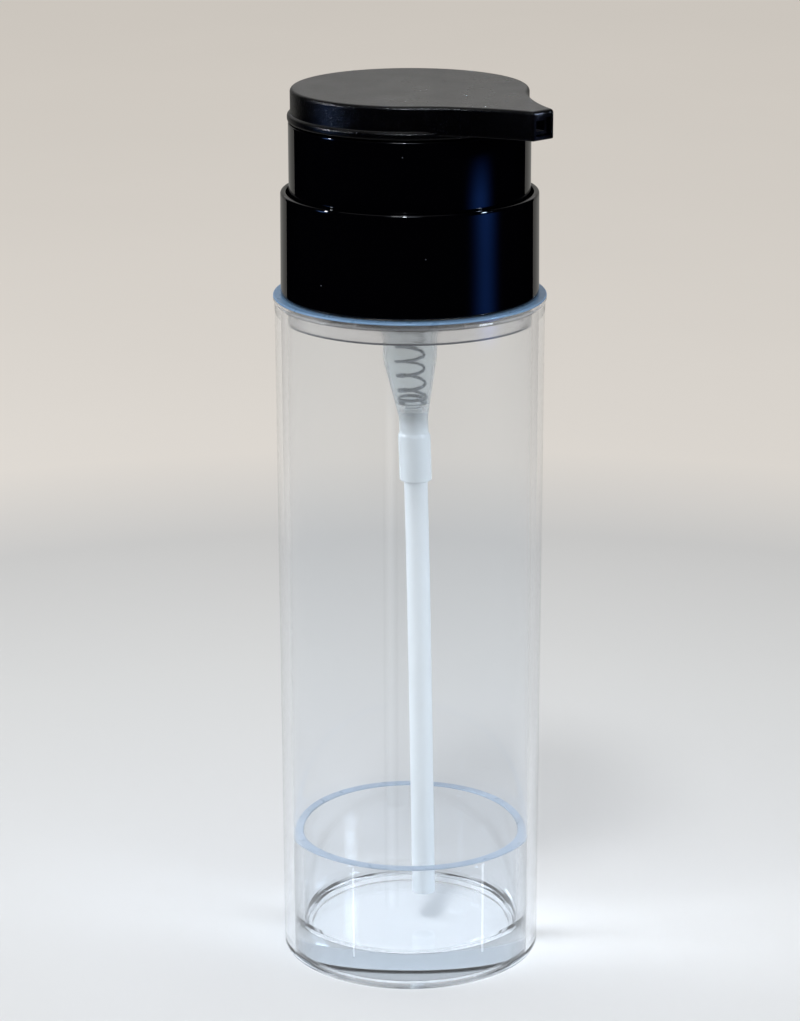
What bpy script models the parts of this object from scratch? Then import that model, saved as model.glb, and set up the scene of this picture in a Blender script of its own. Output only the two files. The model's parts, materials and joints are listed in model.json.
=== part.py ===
"""Soap pump dispenser: a clear round bottle with a screw-on pump under a black press-down head.

Metres, +Z up. The origin is the centre of the flat underside, and the spout points along -Y.
Heights are worked out upwards from the tube's rim to the head, and downwards from the pump's
flange to the end of the dip tube.
"""

import math

import bmesh
import bpy
from mathutils import Matrix, Vector

MM = 0.001

# Clearances
SEAT = 0.2 * MM          # between faces that rest on each other
FIT = 0.15 * MM          # radial, between pieces pressed or snapped together
RUN = 0.1 * MM           # radial, between the piston and its barrel
RIM_GAP = 0.3 * MM       # between the collar and the tube's rim, and at the head's seam

# Bottle
TUBE_H = 125.6 * MM
RIM_R = 24.5 * MM
RIM_H = 0.9 * MM
RIM_LIP = 0.25 * MM
TUBE_DRAFT = 0.35 * MM
TUBE_WALL = 2.5 * MM
FOOT_ROUND = 0.45 * MM
CUP_H = 23.4 * MM
CUP_WALL = 1.75 * MM
CUP_FLOOR = 5.6 * MM
CUP_CORNER = 1.6 * MM

# Neck and its thread
SKIRT_H = 4.4 * MM
SKIRT_WALL = 1.5 * MM
SHOULDER_T = 1.6 * MM
NECK_RISE = 11.0 * MM
NECK_R = 11.0 * MM
NECK_WALL = 1.4 * MM
THREAD_PITCH = 3.175 * MM
THREAD_TURNS = 1.25
THREAD_DEPTH = 0.9 * MM
THREAD_ROOT = 1.5 * MM
THREAD_CREST = 0.7 * MM
THREAD_PLAY = 0.4 * MM
THREAD_START = 3.4 * MM

# Closure
RIM_SHOW = 1.35 * MM
COLLAR_WALL = 1.15 * MM
COLLAR_DRAFT = 0.15 * MM
COLLAR_ROUND = 0.9 * MM
COLLAR_LEAD = 0.25 * MM
WEB_T = 1.6 * MM
LIP_H = 5.0 * MM
LIP_T = 1.1 * MM
RING_WALL = 1.9 * MM
RING_TOP_T = 1.5 * MM
RING_HOLE_PLAY = 1.0 * MM

# Pump engine
STROKE = 9.0 * MM
PISTON_LAG = 0.8 * MM
BALL_LIFT = 0.8 * MM
FLANGE_T = 1.2 * MM
GASKET_T = 1.0 * MM
BARREL_R = 4.9 * MM
BARREL_WALL = 0.8 * MM
BAND_PROUD = 0.35 * MM
BAND_ABOVE_END = 4.7 * MM
TAPER_LEN = 11.0 * MM
BALL_R = 1.4 * MM
BALL_WALL = 1.05 * MM
BALL_SEAT_R = 1.0 * MM
BALL_LIP_T = 0.45 * MM
PASSAGE_LEN = 1.8 * MM
SOCKET_LEN = 8.4 * MM
SOCKET_WALL = 0.65 * MM
SOCKET_CONE = 0.6 * MM
DIP_R = 2.15 * MM
DIP_WALL = 0.5 * MM
DIP_LEAN = 2.5 * MM
DIP_LEAN_HEADING = math.radians(-42.5)
DIP_BOW = 0.15
DIP_FOOT_GAP = 4.6 * MM
PISTON_H = 5.5 * MM
PISTON_SHELF = 3.5 * MM
PISTON_LIP_H = 1.0 * MM
BUSH_LEN = 9.6 * MM
BUSH_HEAD_R = 6.4 * MM
BUSH_HEAD_T = 1.2 * MM
BUSH_BOSS_T = 0.8 * MM
STEM_R = 2.3 * MM
STEM_WALL = 0.8 * MM
ROD_R = 1.0 * MM
ROD_PLAY = 0.3 * MM
ROD_FLANGE_R = 2.9 * MM
ROD_FLANGE_T = 1.2 * MM
ROD_GRIP_LEN = 6.0 * MM
ROD_RIB_T = 0.6 * MM
WIRE_D = 0.6 * MM
CLOSED_COIL_RISE = 0.69 * MM
SPRING_TURNS = 6
TRAVEL_SPARE = 0.4 * MM

# Head
SLEEVE_PLAY = 0.5 * MM
SLEEVE_WALL = 1.2 * MM
SLEEVE_OVERLAP = 4.6 * MM
SLEEVE_SHOW = 3.3 * MM
SLEEVE_FLOOR_GAP = 2.9 * MM
LEDGE_W = 1.4 * MM
LEDGE_T = 1.2 * MM
CAP_STEP = 0.4 * MM
CAP_H = 5.1 * MM
CAP_WALL = 1.4 * MM
CAP_TOP_T = 1.2 * MM
CAP_EDGE = 0.7 * MM
BEAD_PROUD = 0.55 * MM
BEAD_DROP = 0.7 * MM
BEAD_SIDE = 1.1 * MM
BEAD_H = 1.8 * MM
BEAD_ROUND = 0.3 * MM
SPOUT_REACH = 12.4 * MM
SPOUT_TIP_HALF = 2.45 * MM
SPOUT_FLARE = math.radians(39.0)
SPOUT_TAPER = 0.3
SPOUT_FLOOR_T = 0.7 * MM
MOUTH_W = 3.6 * MM
DUCT_WALL = 0.5 * MM
DUCT_RECESS = 0.9 * MM
PLATE_T = 1.4 * MM
BOSS_WALL = 1.75 * MM
LOCATING_RIM_H = 1.0 * MM
LOCATING_RIM_T = 1.2 * MM

# How finely round shapes are divided
BIG_STEPS = 48
SMALL_STEPS = 24
CAP_STEPS = 34
SPOUT_STEPS = 7
COIL_STEPS = 14
DIP_STEPS = 16
SHARP_EDGE = math.radians(35.0)
MERGE = 0.00001

# Radii that follow
TUBE_TOP_R = RIM_R - RIM_LIP
TUBE_FOOT_R = TUBE_TOP_R - TUBE_DRAFT
BORE_R = RIM_R - TUBE_WALL
COLLAR_R = RIM_R - RIM_SHOW
COLLAR_BORE_R = COLLAR_R - COLLAR_WALL
SLEEVE_R = COLLAR_BORE_R - SLEEVE_PLAY
SLEEVE_BORE_R = SLEEVE_R - SLEEVE_WALL
CAP_R = SLEEVE_R - CAP_STEP
BEAD_R = CAP_R + BEAD_PROUD
THREAD_CREST_R = NECK_R + THREAD_DEPTH
RING_BORE_R = THREAD_CREST_R + THREAD_PLAY
RING_CREST_R = RING_BORE_R - THREAD_DEPTH - FIT
RING_R = RING_BORE_R + RING_WALL
FLANGE_R = RING_CREST_R - SEAT
BARREL_BORE_R = BARREL_R - BARREL_WALL
BAND_R = BARREL_R + BAND_PROUD
CHAMBER_R = BALL_R + SEAT
TAPER_END_R = CHAMBER_R + BALL_WALL
SOCKET_BORE_R = DIP_R + FIT
SOCKET_R = SOCKET_BORE_R + SOCKET_WALL
STEM_BORE_R = STEM_R - STEM_WALL

# Heights that follow, from the rim up to the head
COLLAR_Z = TUBE_H + RIM_GAP
WEB_TOP = COLLAR_Z + SEAT + WEB_T
COLLAR_TOP = WEB_TOP + SLEEVE_FLOOR_GAP + STROKE + SLEEVE_OVERLAP
SLEEVE_FOOT = COLLAR_TOP - SLEEVE_OVERLAP
SLEEVE_TOP = COLLAR_TOP + STROKE + SLEEVE_SHOW
BEAD_Z = SLEEVE_TOP + RIM_GAP
CAP_Z = BEAD_Z + BEAD_DROP
CAP_TOP = CAP_Z + CAP_H
NECK_TOP = TUBE_H + NECK_RISE
GASKET_Z = NECK_TOP + SEAT
FLANGE_Z = GASKET_Z + GASKET_T + SEAT
FLANGE_TOP = FLANGE_Z + FLANGE_T
RING_TOP = FLANGE_TOP + SEAT + RING_TOP_T
BUSH_TOP = FLANGE_TOP + SEAT + BUSH_HEAD_T + BUSH_BOSS_T
BOSS_FOOT = BUSH_TOP + STROKE + TRAVEL_SPARE
PLATE_TOP = SLEEVE_TOP + FIT
PLATE_Z = PLATE_TOP - PLATE_T

# Heights that follow, from the flange down to the dip tube
BUSH_FOOT = FLANGE_TOP - BUSH_LEN
PISTON_Z = BUSH_FOOT - SEAT - PISTON_LAG - PISTON_H
BARREL_END = PISTON_Z - STROKE - TRAVEL_SPARE
TAPER_END = BARREL_END - TAPER_LEN
BALL_SEAT_Z = TAPER_END - BALL_R - SEAT
BALL_SEAT_RISE = math.sqrt((BALL_R + FIT) ** 2 - BALL_SEAT_R ** 2)
BALL_Z = BALL_SEAT_Z + BALL_SEAT_RISE
LIP_R = BALL_R - FIT
LIP_Z = BALL_Z + BALL_LIFT + math.sqrt((BALL_R + FIT) ** 2 - LIP_R ** 2)
SPRING_SEAT_Z = LIP_Z + BALL_LIP_T
SOCKET_TOP = BALL_SEAT_Z - PASSAGE_LEN
SOCKET_FOOT = SOCKET_TOP - SOCKET_LEN
DIP_TOP = SOCKET_TOP - SEAT
DIP_FOOT = CUP_FLOOR + DIP_FOOT_GAP
STEM_FOOT = PISTON_Z + PISTON_SHELF + SEAT + PISTON_LAG
STEM_TOP = PLATE_Z - SEAT
ROD_FLANGE_Z = PISTON_Z - SEAT - ROD_FLANGE_T
SPRING_TOP = ROD_FLANGE_Z - SEAT


def clear_scene():
    for old in list(bpy.data.objects):
        bpy.data.objects.remove(old, do_unlink=True)


def new_collection(name):
    collection = bpy.data.collections.new(name)
    bpy.context.scene.collection.children.link(collection)
    return collection


clear_scene()
PARTS = new_collection("soap_pump_dispenser")
CUTTERS = new_collection("cutters")


def material(name, colour, roughness, metallic=0.0, alpha=1.0):
    made = bpy.data.materials.new(name)
    made.use_nodes = True
    shader = made.node_tree.nodes["Principled BSDF"]
    shader.inputs["Base Color"].default_value = (*colour, 1.0)
    shader.inputs["Roughness"].default_value = roughness
    shader.inputs["Metallic"].default_value = metallic
    shader.inputs["Alpha"].default_value = alpha
    return made


def link(name, mesh, collection=PARTS):
    placed = bpy.data.objects.new(name, mesh)
    collection.objects.link(placed)
    if collection == CUTTERS:
        placed.hide_render = True
        placed.display_type = "WIRE"
    return placed


def freeze(placed):
    """Turn an object and its modifiers into one plain mesh."""
    graph = bpy.context.evaluated_depsgraph_get()
    mesh = bpy.data.meshes.new_from_object(placed.evaluated_get(graph))
    placed.modifiers.clear()
    placed.data = mesh
    mesh.shade_smooth()
    mesh.set_sharp_from_angle(angle=SHARP_EDGE)
    return placed


def turned(name, outline, steps=BIG_STEPS, closed=True, collection=PARTS):
    """Turn an outline of (radius, height) points, which runs down its outer side, about Z."""
    mesh = bpy.data.meshes.new(name)
    verts = [(radius, 0.0, height) for radius, height in outline]
    edges = [(i, i + 1) for i in range(len(verts) - 1)]
    if closed:
        edges.append((len(verts) - 1, 0))
    mesh.from_pydata(verts, edges, [])
    placed = link(name, mesh, collection)
    screw = placed.modifiers.new("turn", "SCREW")
    screw.axis = "Z"
    screw.angle = math.tau
    screw.steps = steps
    screw.render_steps = steps
    screw.use_merge_vertices = True
    screw.merge_threshold = MERGE
    return freeze(placed)


def arc(centre_r, centre_z, radius, start, end, count):
    """Points of an arc in the outline plane, angles in degrees from +radius towards +Z."""
    points = []
    for i in range(count + 1):
        angle = math.radians(start + (end - start) * i / count)
        points.append((centre_r + radius * math.cos(angle), centre_z + radius * math.sin(angle)))
    return points


def box(name, low, high, collection=CUTTERS):
    mesh = bpy.data.meshes.new(name)
    shape = bmesh.new()
    bmesh.ops.create_cube(shape, size=1.0)
    size = Vector(high) - Vector(low)
    middle = (Vector(high) + Vector(low)) / 2
    bmesh.ops.scale(shape, vec=size, verts=shape.verts)
    bmesh.ops.translate(shape, vec=middle, verts=shape.verts)
    shape.to_mesh(mesh)
    shape.free()
    return link(name, mesh, collection)


def rod(name, radius, low_z, high_z, steps=SMALL_STEPS, collection=CUTTERS):
    mesh = bpy.data.meshes.new(name)
    shape = bmesh.new()
    bmesh.ops.create_cone(shape, cap_ends=True, segments=steps, radius1=radius, radius2=radius,
                          depth=high_z - low_z)
    bmesh.ops.translate(shape, vec=(0.0, 0.0, (high_z + low_z) / 2), verts=shape.verts)
    shape.to_mesh(mesh)
    shape.free()
    return link(name, mesh, collection)


def combine(target, others, operation):
    """Add or cut other solids; the others are removed afterwards."""
    for other in others:
        step = target.modifiers.new(operation.lower(), "BOOLEAN")
        step.operation = operation
        step.solver = "EXACT"
        step.object = other
        freeze(target)
        bpy.data.objects.remove(other, do_unlink=True)
    return target


def join(target, *others):
    return combine(target, others, "UNION")


def cut(target, *others):
    return combine(target, others, "DIFFERENCE")


def finish(placed, made):
    placed.data.materials.clear()
    placed.data.materials.append(made)
    return placed


def thread_ridge(name, root_r, crest_r, start_z):
    """One helical ridge, from root_r (inside its wall) to crest_r, climbing from start_z."""
    mesh = bpy.data.meshes.new(name)
    shape = bmesh.new()
    section = [(root_r, -THREAD_ROOT / 2), (crest_r, -THREAD_CREST / 2),
               (crest_r, THREAD_CREST / 2), (root_r, THREAD_ROOT / 2)]
    corners = [shape.verts.new((radius, 0.0, start_z + height)) for radius, height in section]
    shape.faces.new(corners)
    steps = round(BIG_STEPS * THREAD_TURNS)
    climb = Vector((0.0, 0.0, THREAD_PITCH * THREAD_TURNS / steps))
    bmesh.ops.spin(shape, geom=shape.verts[:] + shape.edges[:] + shape.faces[:],
                   cent=(0.0, 0.0, 0.0), axis=(0.0, 0.0, 1.0), dvec=climb,
                   angle=math.tau * THREAD_TURNS, steps=steps)
    bmesh.ops.recalc_face_normals(shape, faces=shape.faces)
    shape.to_mesh(mesh)
    shape.free()
    return link(name, mesh, CUTTERS)


# Bottle


def make_bottle_tube():
    rim_low = TUBE_H - RIM_H
    outline = [(BORE_R, TUBE_H), (RIM_R, TUBE_H), (RIM_R, rim_low), (TUBE_TOP_R, rim_low - RIM_H / 2)]
    outline += arc(TUBE_FOOT_R - FOOT_ROUND, FOOT_ROUND, FOOT_ROUND, 0.0, -90.0, 2)
    outline += [(BORE_R, 0.0)]
    return turned("bottle_tube", outline)


def make_base_cup():
    outer_r = BORE_R - FIT
    inner_r = outer_r - CUP_WALL
    outline = [(inner_r, CUP_H), (outer_r, CUP_H), (outer_r, 0.0), (0.0, 0.0)]
    inner = [(0.0, CUP_FLOOR)]
    inner += arc(inner_r - CUP_CORNER, CUP_FLOOR + CUP_CORNER, CUP_CORNER, -90.0, 0.0, 3)
    return turned("base_cup", inner + outline, closed=False)


def make_neck_insert():
    skirt_r = BORE_R - FIT
    shoulder_z = TUBE_H - SHOULDER_T
    skirt_bore = skirt_r - SKIRT_WALL
    bore = NECK_R - NECK_WALL
    outline = [(bore, NECK_TOP), (NECK_R, NECK_TOP), (NECK_R, TUBE_H), (skirt_r, TUBE_H),
               (skirt_r, TUBE_H - SKIRT_H), (skirt_bore, TUBE_H - SKIRT_H),
               (skirt_bore, shoulder_z), (bore, shoulder_z)]
    insert = turned("neck_insert", outline)
    ridge = thread_ridge("neck_thread", NECK_R - NECK_WALL / 2, THREAD_CREST_R, TUBE_H + THREAD_START)
    return join(insert, ridge)


# Closure


def make_collar_shell():
    top_r = COLLAR_R - COLLAR_DRAFT
    lip_bore = RING_R + FIT
    lip_r = lip_bore + LIP_T
    web_z = COLLAR_Z + SEAT
    outline = [(COLLAR_BORE_R, COLLAR_TOP - COLLAR_LEAD), (COLLAR_BORE_R + COLLAR_LEAD / 2, COLLAR_TOP)]
    outline += arc(top_r - COLLAR_ROUND, COLLAR_TOP - COLLAR_ROUND, COLLAR_ROUND, 90.0, 0.0, 3)
    outline += [(COLLAR_R, COLLAR_Z), (COLLAR_BORE_R, COLLAR_Z), (COLLAR_BORE_R - SEAT, web_z),
                (lip_bore, web_z), (lip_bore, WEB_TOP + LIP_H), (lip_r, WEB_TOP + LIP_H),
                (lip_r, WEB_TOP), (COLLAR_BORE_R, WEB_TOP)]
    return turned("collar_shell", outline)


def make_screw_ring():
    hole_r = BUSH_HEAD_R + RING_HOLE_PLAY
    foot_z = COLLAR_Z + SEAT
    outline = [(hole_r, RING_TOP), (RING_R, RING_TOP), (RING_R, foot_z), (RING_BORE_R, foot_z),
               (RING_BORE_R, RING_TOP - RING_TOP_T), (hole_r, RING_TOP - RING_TOP_T)]
    ring = turned("screw_ring", outline)
    flank_drop = (THREAD_ROOT + THREAD_CREST) / 2 + FIT
    start_z = TUBE_H + THREAD_START - flank_drop
    ridge = thread_ridge("ring_thread", RING_BORE_R + RING_WALL / 2, RING_CREST_R, start_z)
    return join(ring, ridge)


def make_closure_gasket():
    hole_r = BAND_R + FIT
    outline = [(hole_r, GASKET_Z + GASKET_T), (FLANGE_R, GASKET_Z + GASKET_T),
               (FLANGE_R, GASKET_Z), (hole_r, GASKET_Z)]
    return turned("closure_gasket", outline)


# Pump engine


def taper_bore(height):
    """The housing's inner radius at a height in its taper."""
    share = (height - TAPER_END) / TAPER_LEN
    return TAPER_END_R + (BARREL_R - TAPER_END_R) * share - BARREL_WALL


def make_pump_housing():
    band_z = BARREL_END + BAND_ABOVE_END
    outside = [(BARREL_BORE_R, FLANGE_TOP), (FLANGE_R, FLANGE_TOP), (FLANGE_R, FLANGE_Z),
               (BAND_R, FLANGE_Z), (BAND_R, band_z), (BARREL_R, band_z), (BARREL_R, BARREL_END),
               (TAPER_END_R, TAPER_END), (TAPER_END_R, SOCKET_TOP + SOCKET_CONE),
               (SOCKET_R, SOCKET_TOP), (SOCKET_R, SOCKET_FOOT)]
    inside = [(SOCKET_BORE_R, SOCKET_FOOT), (SOCKET_BORE_R, SOCKET_TOP), (BALL_SEAT_R, SOCKET_TOP),
              (BALL_SEAT_R, BALL_SEAT_Z), (CHAMBER_R, BALL_SEAT_Z + CHAMBER_R - BALL_SEAT_R),
              (CHAMBER_R, LIP_Z - SEAT), (LIP_R, LIP_Z), (LIP_R, SPRING_SEAT_Z - SEAT),
              (CHAMBER_R - SEAT, SPRING_SEAT_Z), (taper_bore(SPRING_SEAT_Z), SPRING_SEAT_Z),
              (BARREL_BORE_R, BARREL_END)]
    return turned("pump_housing", outside + inside, steps=SMALL_STEPS)


def make_housing_cap():
    guide_r = STEM_R + FIT
    spigot_r = BARREL_BORE_R - FIT
    head_z = FLANGE_TOP + SEAT
    boss_z = head_z + BUSH_HEAD_T
    outline = [(guide_r, BUSH_TOP), (spigot_r, BUSH_TOP), (spigot_r + BUSH_BOSS_T / 2, boss_z),
               (BUSH_HEAD_R, boss_z), (BUSH_HEAD_R, head_z), (spigot_r, head_z),
               (spigot_r, BUSH_FOOT), (guide_r, BUSH_FOOT)]
    return turned("housing_cap", outline, steps=SMALL_STEPS)


def dip_centre(height):
    """The middle of the dip tube at a height, leaning sideways with a slight bow."""
    share = max(0.0, (SOCKET_FOOT - height) / (SOCKET_FOOT - DIP_FOOT))
    lean = DIP_LEAN * share * (1.0 + DIP_BOW * (1.0 - share))
    return Vector((lean * math.cos(DIP_LEAN_HEADING), lean * math.sin(DIP_LEAN_HEADING), height))


def make_dip_tube():
    path = [Vector((0.0, 0.0, DIP_TOP)), Vector((0.0, 0.0, SOCKET_FOOT))]
    for i in range(1, DIP_STEPS + 1):
        path.append(dip_centre(SOCKET_FOOT + (DIP_FOOT - SOCKET_FOOT) * i / DIP_STEPS))
    curve = bpy.data.curves.new("dip_path", "CURVE")
    curve.dimensions = "3D"
    curve.bevel_depth = DIP_R
    curve.bevel_resolution = 4
    line = curve.splines.new("POLY")
    line.points.add(len(path) - 1)
    for point, place in zip(line.points, path):
        point.co = (*place, 1.0)
    guide = link("dip_guide", curve, CUTTERS)
    graph = bpy.context.evaluated_depsgraph_get()
    mesh = bpy.data.meshes.new_from_object(guide.evaluated_get(graph))
    placed = link("dip_tube", mesh)
    placed.matrix_world = guide.matrix_world
    bpy.data.objects.remove(guide, do_unlink=True)
    wall = placed.modifiers.new("wall", "SOLIDIFY")
    wall.thickness = DIP_WALL
    wall.offset = -1.0
    wall.use_even_offset = True
    return freeze(placed)


def make_inlet_ball():
    mesh = bpy.data.meshes.new("inlet_ball")
    shape = bmesh.new()
    bmesh.ops.create_uvsphere(shape, u_segments=16, v_segments=10, radius=BALL_R)
    shape.to_mesh(mesh)
    shape.free()
    mesh.shade_smooth()
    placed = link("inlet_ball", mesh)
    placed.location = (0.0, 0.0, BALL_Z)
    return placed


def make_return_spring():
    """A coil with one closed turn at each end."""
    coil_r = taper_bore(SPRING_SEAT_Z) - FIT - WIRE_D / 2
    low = SPRING_SEAT_Z + SEAT + WIRE_D / 2
    high = SPRING_TOP - WIRE_D / 2
    open_rise = (high - low - 2 * CLOSED_COIL_RISE) / (SPRING_TURNS - 2)
    curve = bpy.data.curves.new("return_spring", "CURVE")
    curve.dimensions = "3D"
    curve.bevel_depth = WIRE_D / 2
    curve.bevel_resolution = 2
    curve.use_fill_caps = True
    line = curve.splines.new("POLY")
    total = SPRING_TURNS * COIL_STEPS
    line.points.add(total)
    height = low
    for i, point in enumerate(line.points):
        angle = math.tau * i / COIL_STEPS
        point.co = (coil_r * math.cos(angle), coil_r * math.sin(angle), height, 1.0)
        closed = i < COIL_STEPS or i >= total - COIL_STEPS
        height += (CLOSED_COIL_RISE if closed else open_rise) / COIL_STEPS
    guide = link("spring_guide", curve, CUTTERS)
    graph = bpy.context.evaluated_depsgraph_get()
    mesh = bpy.data.meshes.new_from_object(guide.evaluated_get(graph))
    shape = bmesh.new()
    shape.from_mesh(mesh)
    bmesh.ops.remove_doubles(shape, verts=shape.verts, dist=MERGE)
    shape.to_mesh(mesh)
    shape.free()
    placed = link("return_spring", mesh)
    placed.matrix_world = guide.matrix_world
    bpy.data.objects.remove(guide, do_unlink=True)
    return placed


def make_piston():
    lip_r = BARREL_BORE_R - RUN
    shelf_r = STEM_R + SEAT
    waist_r = (lip_r + shelf_r) / 2
    bore_r = ROD_R + ROD_PLAY
    top = PISTON_Z + PISTON_H
    shelf_z = PISTON_Z + PISTON_SHELF
    outline = [(shelf_r, top), (lip_r, top), (waist_r, top - PISTON_LIP_H),
               (waist_r, PISTON_Z + PISTON_LIP_H), (lip_r, PISTON_Z), (bore_r, PISTON_Z),
               (bore_r, shelf_z), (shelf_r, shelf_z)]
    return turned("piston", outline, steps=SMALL_STEPS)


def make_piston_rod():
    grip_z = STEM_FOOT + ROD_GRIP_LEN
    outline = [(0.0, grip_z), (ROD_R, grip_z), (ROD_R, ROD_FLANGE_Z + ROD_FLANGE_T),
               (ROD_FLANGE_R, ROD_FLANGE_Z + ROD_FLANGE_T), (ROD_FLANGE_R, ROD_FLANGE_Z),
               (0.0, ROD_FLANGE_Z)]
    body = turned("piston_rod", outline, steps=SMALL_STEPS, closed=False)
    reach = STEM_BORE_R - FIT
    half = ROD_RIB_T / 2
    low = STEM_FOOT + SEAT
    high = grip_z - SEAT
    across = box("rib_x", (-reach, -half, low), (reach, half, high))
    along = box("rib_y", (-half, -reach, low), (half, reach, high))
    return join(body, across, along)


def make_stem():
    outline = [(STEM_BORE_R, STEM_TOP), (STEM_R - SEAT, STEM_TOP), (STEM_R, STEM_TOP - SEAT),
               (STEM_R, STEM_FOOT), (STEM_BORE_R, STEM_FOOT)]
    return turned("stem", outline, steps=SMALL_STEPS)


# Head


def spout_edge():
    """One side of the spout's outline, from the cap's circle to the tip, as a smooth curve."""
    tip_y = CAP_R + SPOUT_REACH
    start = Vector((CAP_R * math.sin(SPOUT_FLARE), CAP_R * math.cos(SPOUT_FLARE)))
    tip = Vector((SPOUT_TIP_HALF, tip_y))
    leave = Vector((-math.cos(SPOUT_FLARE), math.sin(SPOUT_FLARE)))
    arrive = Vector((-SPOUT_TAPER, 1.0)).normalized()
    reach = (tip_y - start.y) / 3
    near = start + leave * reach
    far = tip - arrive * reach
    points = []
    for i in range(SPOUT_STEPS + 1):
        t = i / SPOUT_STEPS
        points.append(start * (1 - t) ** 3 + near * 3 * t * (1 - t) ** 2
                      + far * 3 * t ** 2 * (1 - t) + tip * t ** 3)
    return points


def cap_outline():
    """The teardrop outline, with the spout along -Y."""
    right = [(point.x, -point.y) for point in spout_edge()]
    left = [(-x, y) for x, y in reversed(right)]
    sweep = math.tau - 2 * SPOUT_FLARE
    around = []
    for i in range(1, CAP_STEPS):
        angle = -math.pi / 2 - SPOUT_FLARE - sweep * i / CAP_STEPS
        around.append((CAP_R * math.cos(angle), CAP_R * math.sin(angle)))
    return right + left + around


def make_cap_bead():
    """The rounded bead around the cap's foot, as a full disc that the cap's hollow opens."""
    outline = [(0.0, BEAD_Z + BEAD_H), (CAP_R - CAP_WALL / 2, BEAD_Z + BEAD_H), (BEAD_R, BEAD_Z + BEAD_SIDE),
               (BEAD_R, BEAD_Z + BEAD_ROUND), (BEAD_R - BEAD_ROUND, BEAD_Z), (0.0, BEAD_Z)]
    return turned("cap_bead", outline, closed=False, collection=CUTTERS)


def make_actuator_cap():
    outline = cap_outline()
    curve = bpy.data.curves.new("cap_outline", "CURVE")
    curve.dimensions = "2D"
    curve.fill_mode = "BOTH"
    curve.extrude = CAP_H / 2
    line = curve.splines.new("POLY")
    line.points.add(len(outline) - 1)
    line.use_cyclic_u = True
    for point, (x, y) in zip(line.points, outline):
        point.co = (x, y, 0.0, 1.0)
    guide = link("cap_guide", curve, CUTTERS)
    graph = bpy.context.evaluated_depsgraph_get()
    mesh = bpy.data.meshes.new_from_object(guide.evaluated_get(graph))
    mesh.transform(Matrix.Translation((0.0, 0.0, CAP_Z + CAP_H / 2)))
    bpy.data.objects.remove(guide, do_unlink=True)
    shape = bmesh.new()
    shape.from_mesh(mesh)
    bmesh.ops.remove_doubles(shape, verts=shape.verts, dist=MERGE)
    bmesh.ops.dissolve_limit(shape, angle_limit=math.radians(1.0), verts=shape.verts, edges=shape.edges)
    bmesh.ops.recalc_face_normals(shape, faces=shape.faces)
    on_top = [edge for edge in shape.edges
              if all(vert.co.z > CAP_TOP - MERGE for vert in edge.verts) and len(edge.link_faces) == 2]
    bmesh.ops.bevel(shape, geom=on_top, offset=CAP_EDGE, segments=2, profile=0.5, affect="EDGES")
    shape.to_mesh(mesh)
    shape.free()
    cap = join(link("actuator_cap", mesh), make_cap_bead())
    hollow = rod("cap_hollow", CAP_R - CAP_WALL, CAP_Z - CAP_H, CAP_TOP - CAP_TOP_T, BIG_STEPS)
    mouth = box("cap_mouth", (-MOUTH_W / 2, -CAP_R - SPOUT_REACH * 2, CAP_Z + SPOUT_FLOOR_T),
                (MOUTH_W / 2, 0.0, CAP_TOP - CAP_TOP_T))
    return cut(cap, hollow, mouth)


def make_actuator_core():
    plate_r = SLEEVE_BORE_R - FIT
    rim_r = CAP_R - CAP_WALL - FIT
    rim_bore = rim_r - LOCATING_RIM_T
    boss_r = STEM_R + FIT + BOSS_WALL
    rim_top = PLATE_TOP + LOCATING_RIM_H
    outline = [(0.0, PLATE_TOP), (rim_bore, PLATE_TOP), (rim_bore, rim_top), (rim_r, rim_top),
               (rim_r, PLATE_TOP), (plate_r, PLATE_TOP), (plate_r, PLATE_Z), (boss_r, PLATE_Z),
               (boss_r, BOSS_FOOT), (0.0, BOSS_FOOT)]
    core = turned("actuator_core", outline, closed=False)
    duct_half = MOUTH_W / 2 - SEAT
    duct_low = CAP_Z + SPOUT_FLOOR_T + SEAT
    duct_high = CAP_TOP - CAP_TOP_T - SEAT
    end_y = -CAP_R - SPOUT_REACH + DUCT_RECESS
    back_y = STEM_R + FIT + BOSS_WALL / 2
    block = box("duct_block", (-duct_half, -rim_bore - LOCATING_RIM_T / 2, PLATE_TOP - PLATE_T / 2),
                (duct_half, back_y, duct_high))
    duct = box("duct", (-duct_half, end_y, duct_low), (duct_half, 0.0, duct_high))
    join(core, block, duct)
    way_half = duct_half - DUCT_WALL
    way_low = duct_low + DUCT_WALL
    way_high = duct_high - DUCT_WALL
    way = box("duct_way", (-way_half, end_y - SPOUT_REACH, way_low), (way_half, way_half, way_high))
    riser = rod("riser", STEM_BORE_R - FIT, STEM_TOP - SEAT, way_low + DUCT_WALL)
    socket = rod("stem_socket", STEM_R + FIT, BOSS_FOOT - STROKE, STEM_TOP + FIT)
    return cut(core, way, riser, socket)


def make_actuator_sleeve():
    ledge_top = PLATE_Z - SEAT
    ledge_r = SLEEVE_BORE_R - LEDGE_W
    outline = [(SLEEVE_BORE_R, SLEEVE_TOP), (SLEEVE_R - SEAT, SLEEVE_TOP), (SLEEVE_R, SLEEVE_TOP - SEAT),
               (SLEEVE_R, SLEEVE_FOOT + SEAT), (SLEEVE_R - SEAT, SLEEVE_FOOT), (SLEEVE_BORE_R, SLEEVE_FOOT),
               (SLEEVE_BORE_R, ledge_top - LEDGE_T - LEDGE_W), (ledge_r, ledge_top - LEDGE_T),
               (ledge_r, ledge_top), (SLEEVE_BORE_R, ledge_top)]
    return turned("actuator_sleeve", outline)


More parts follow.
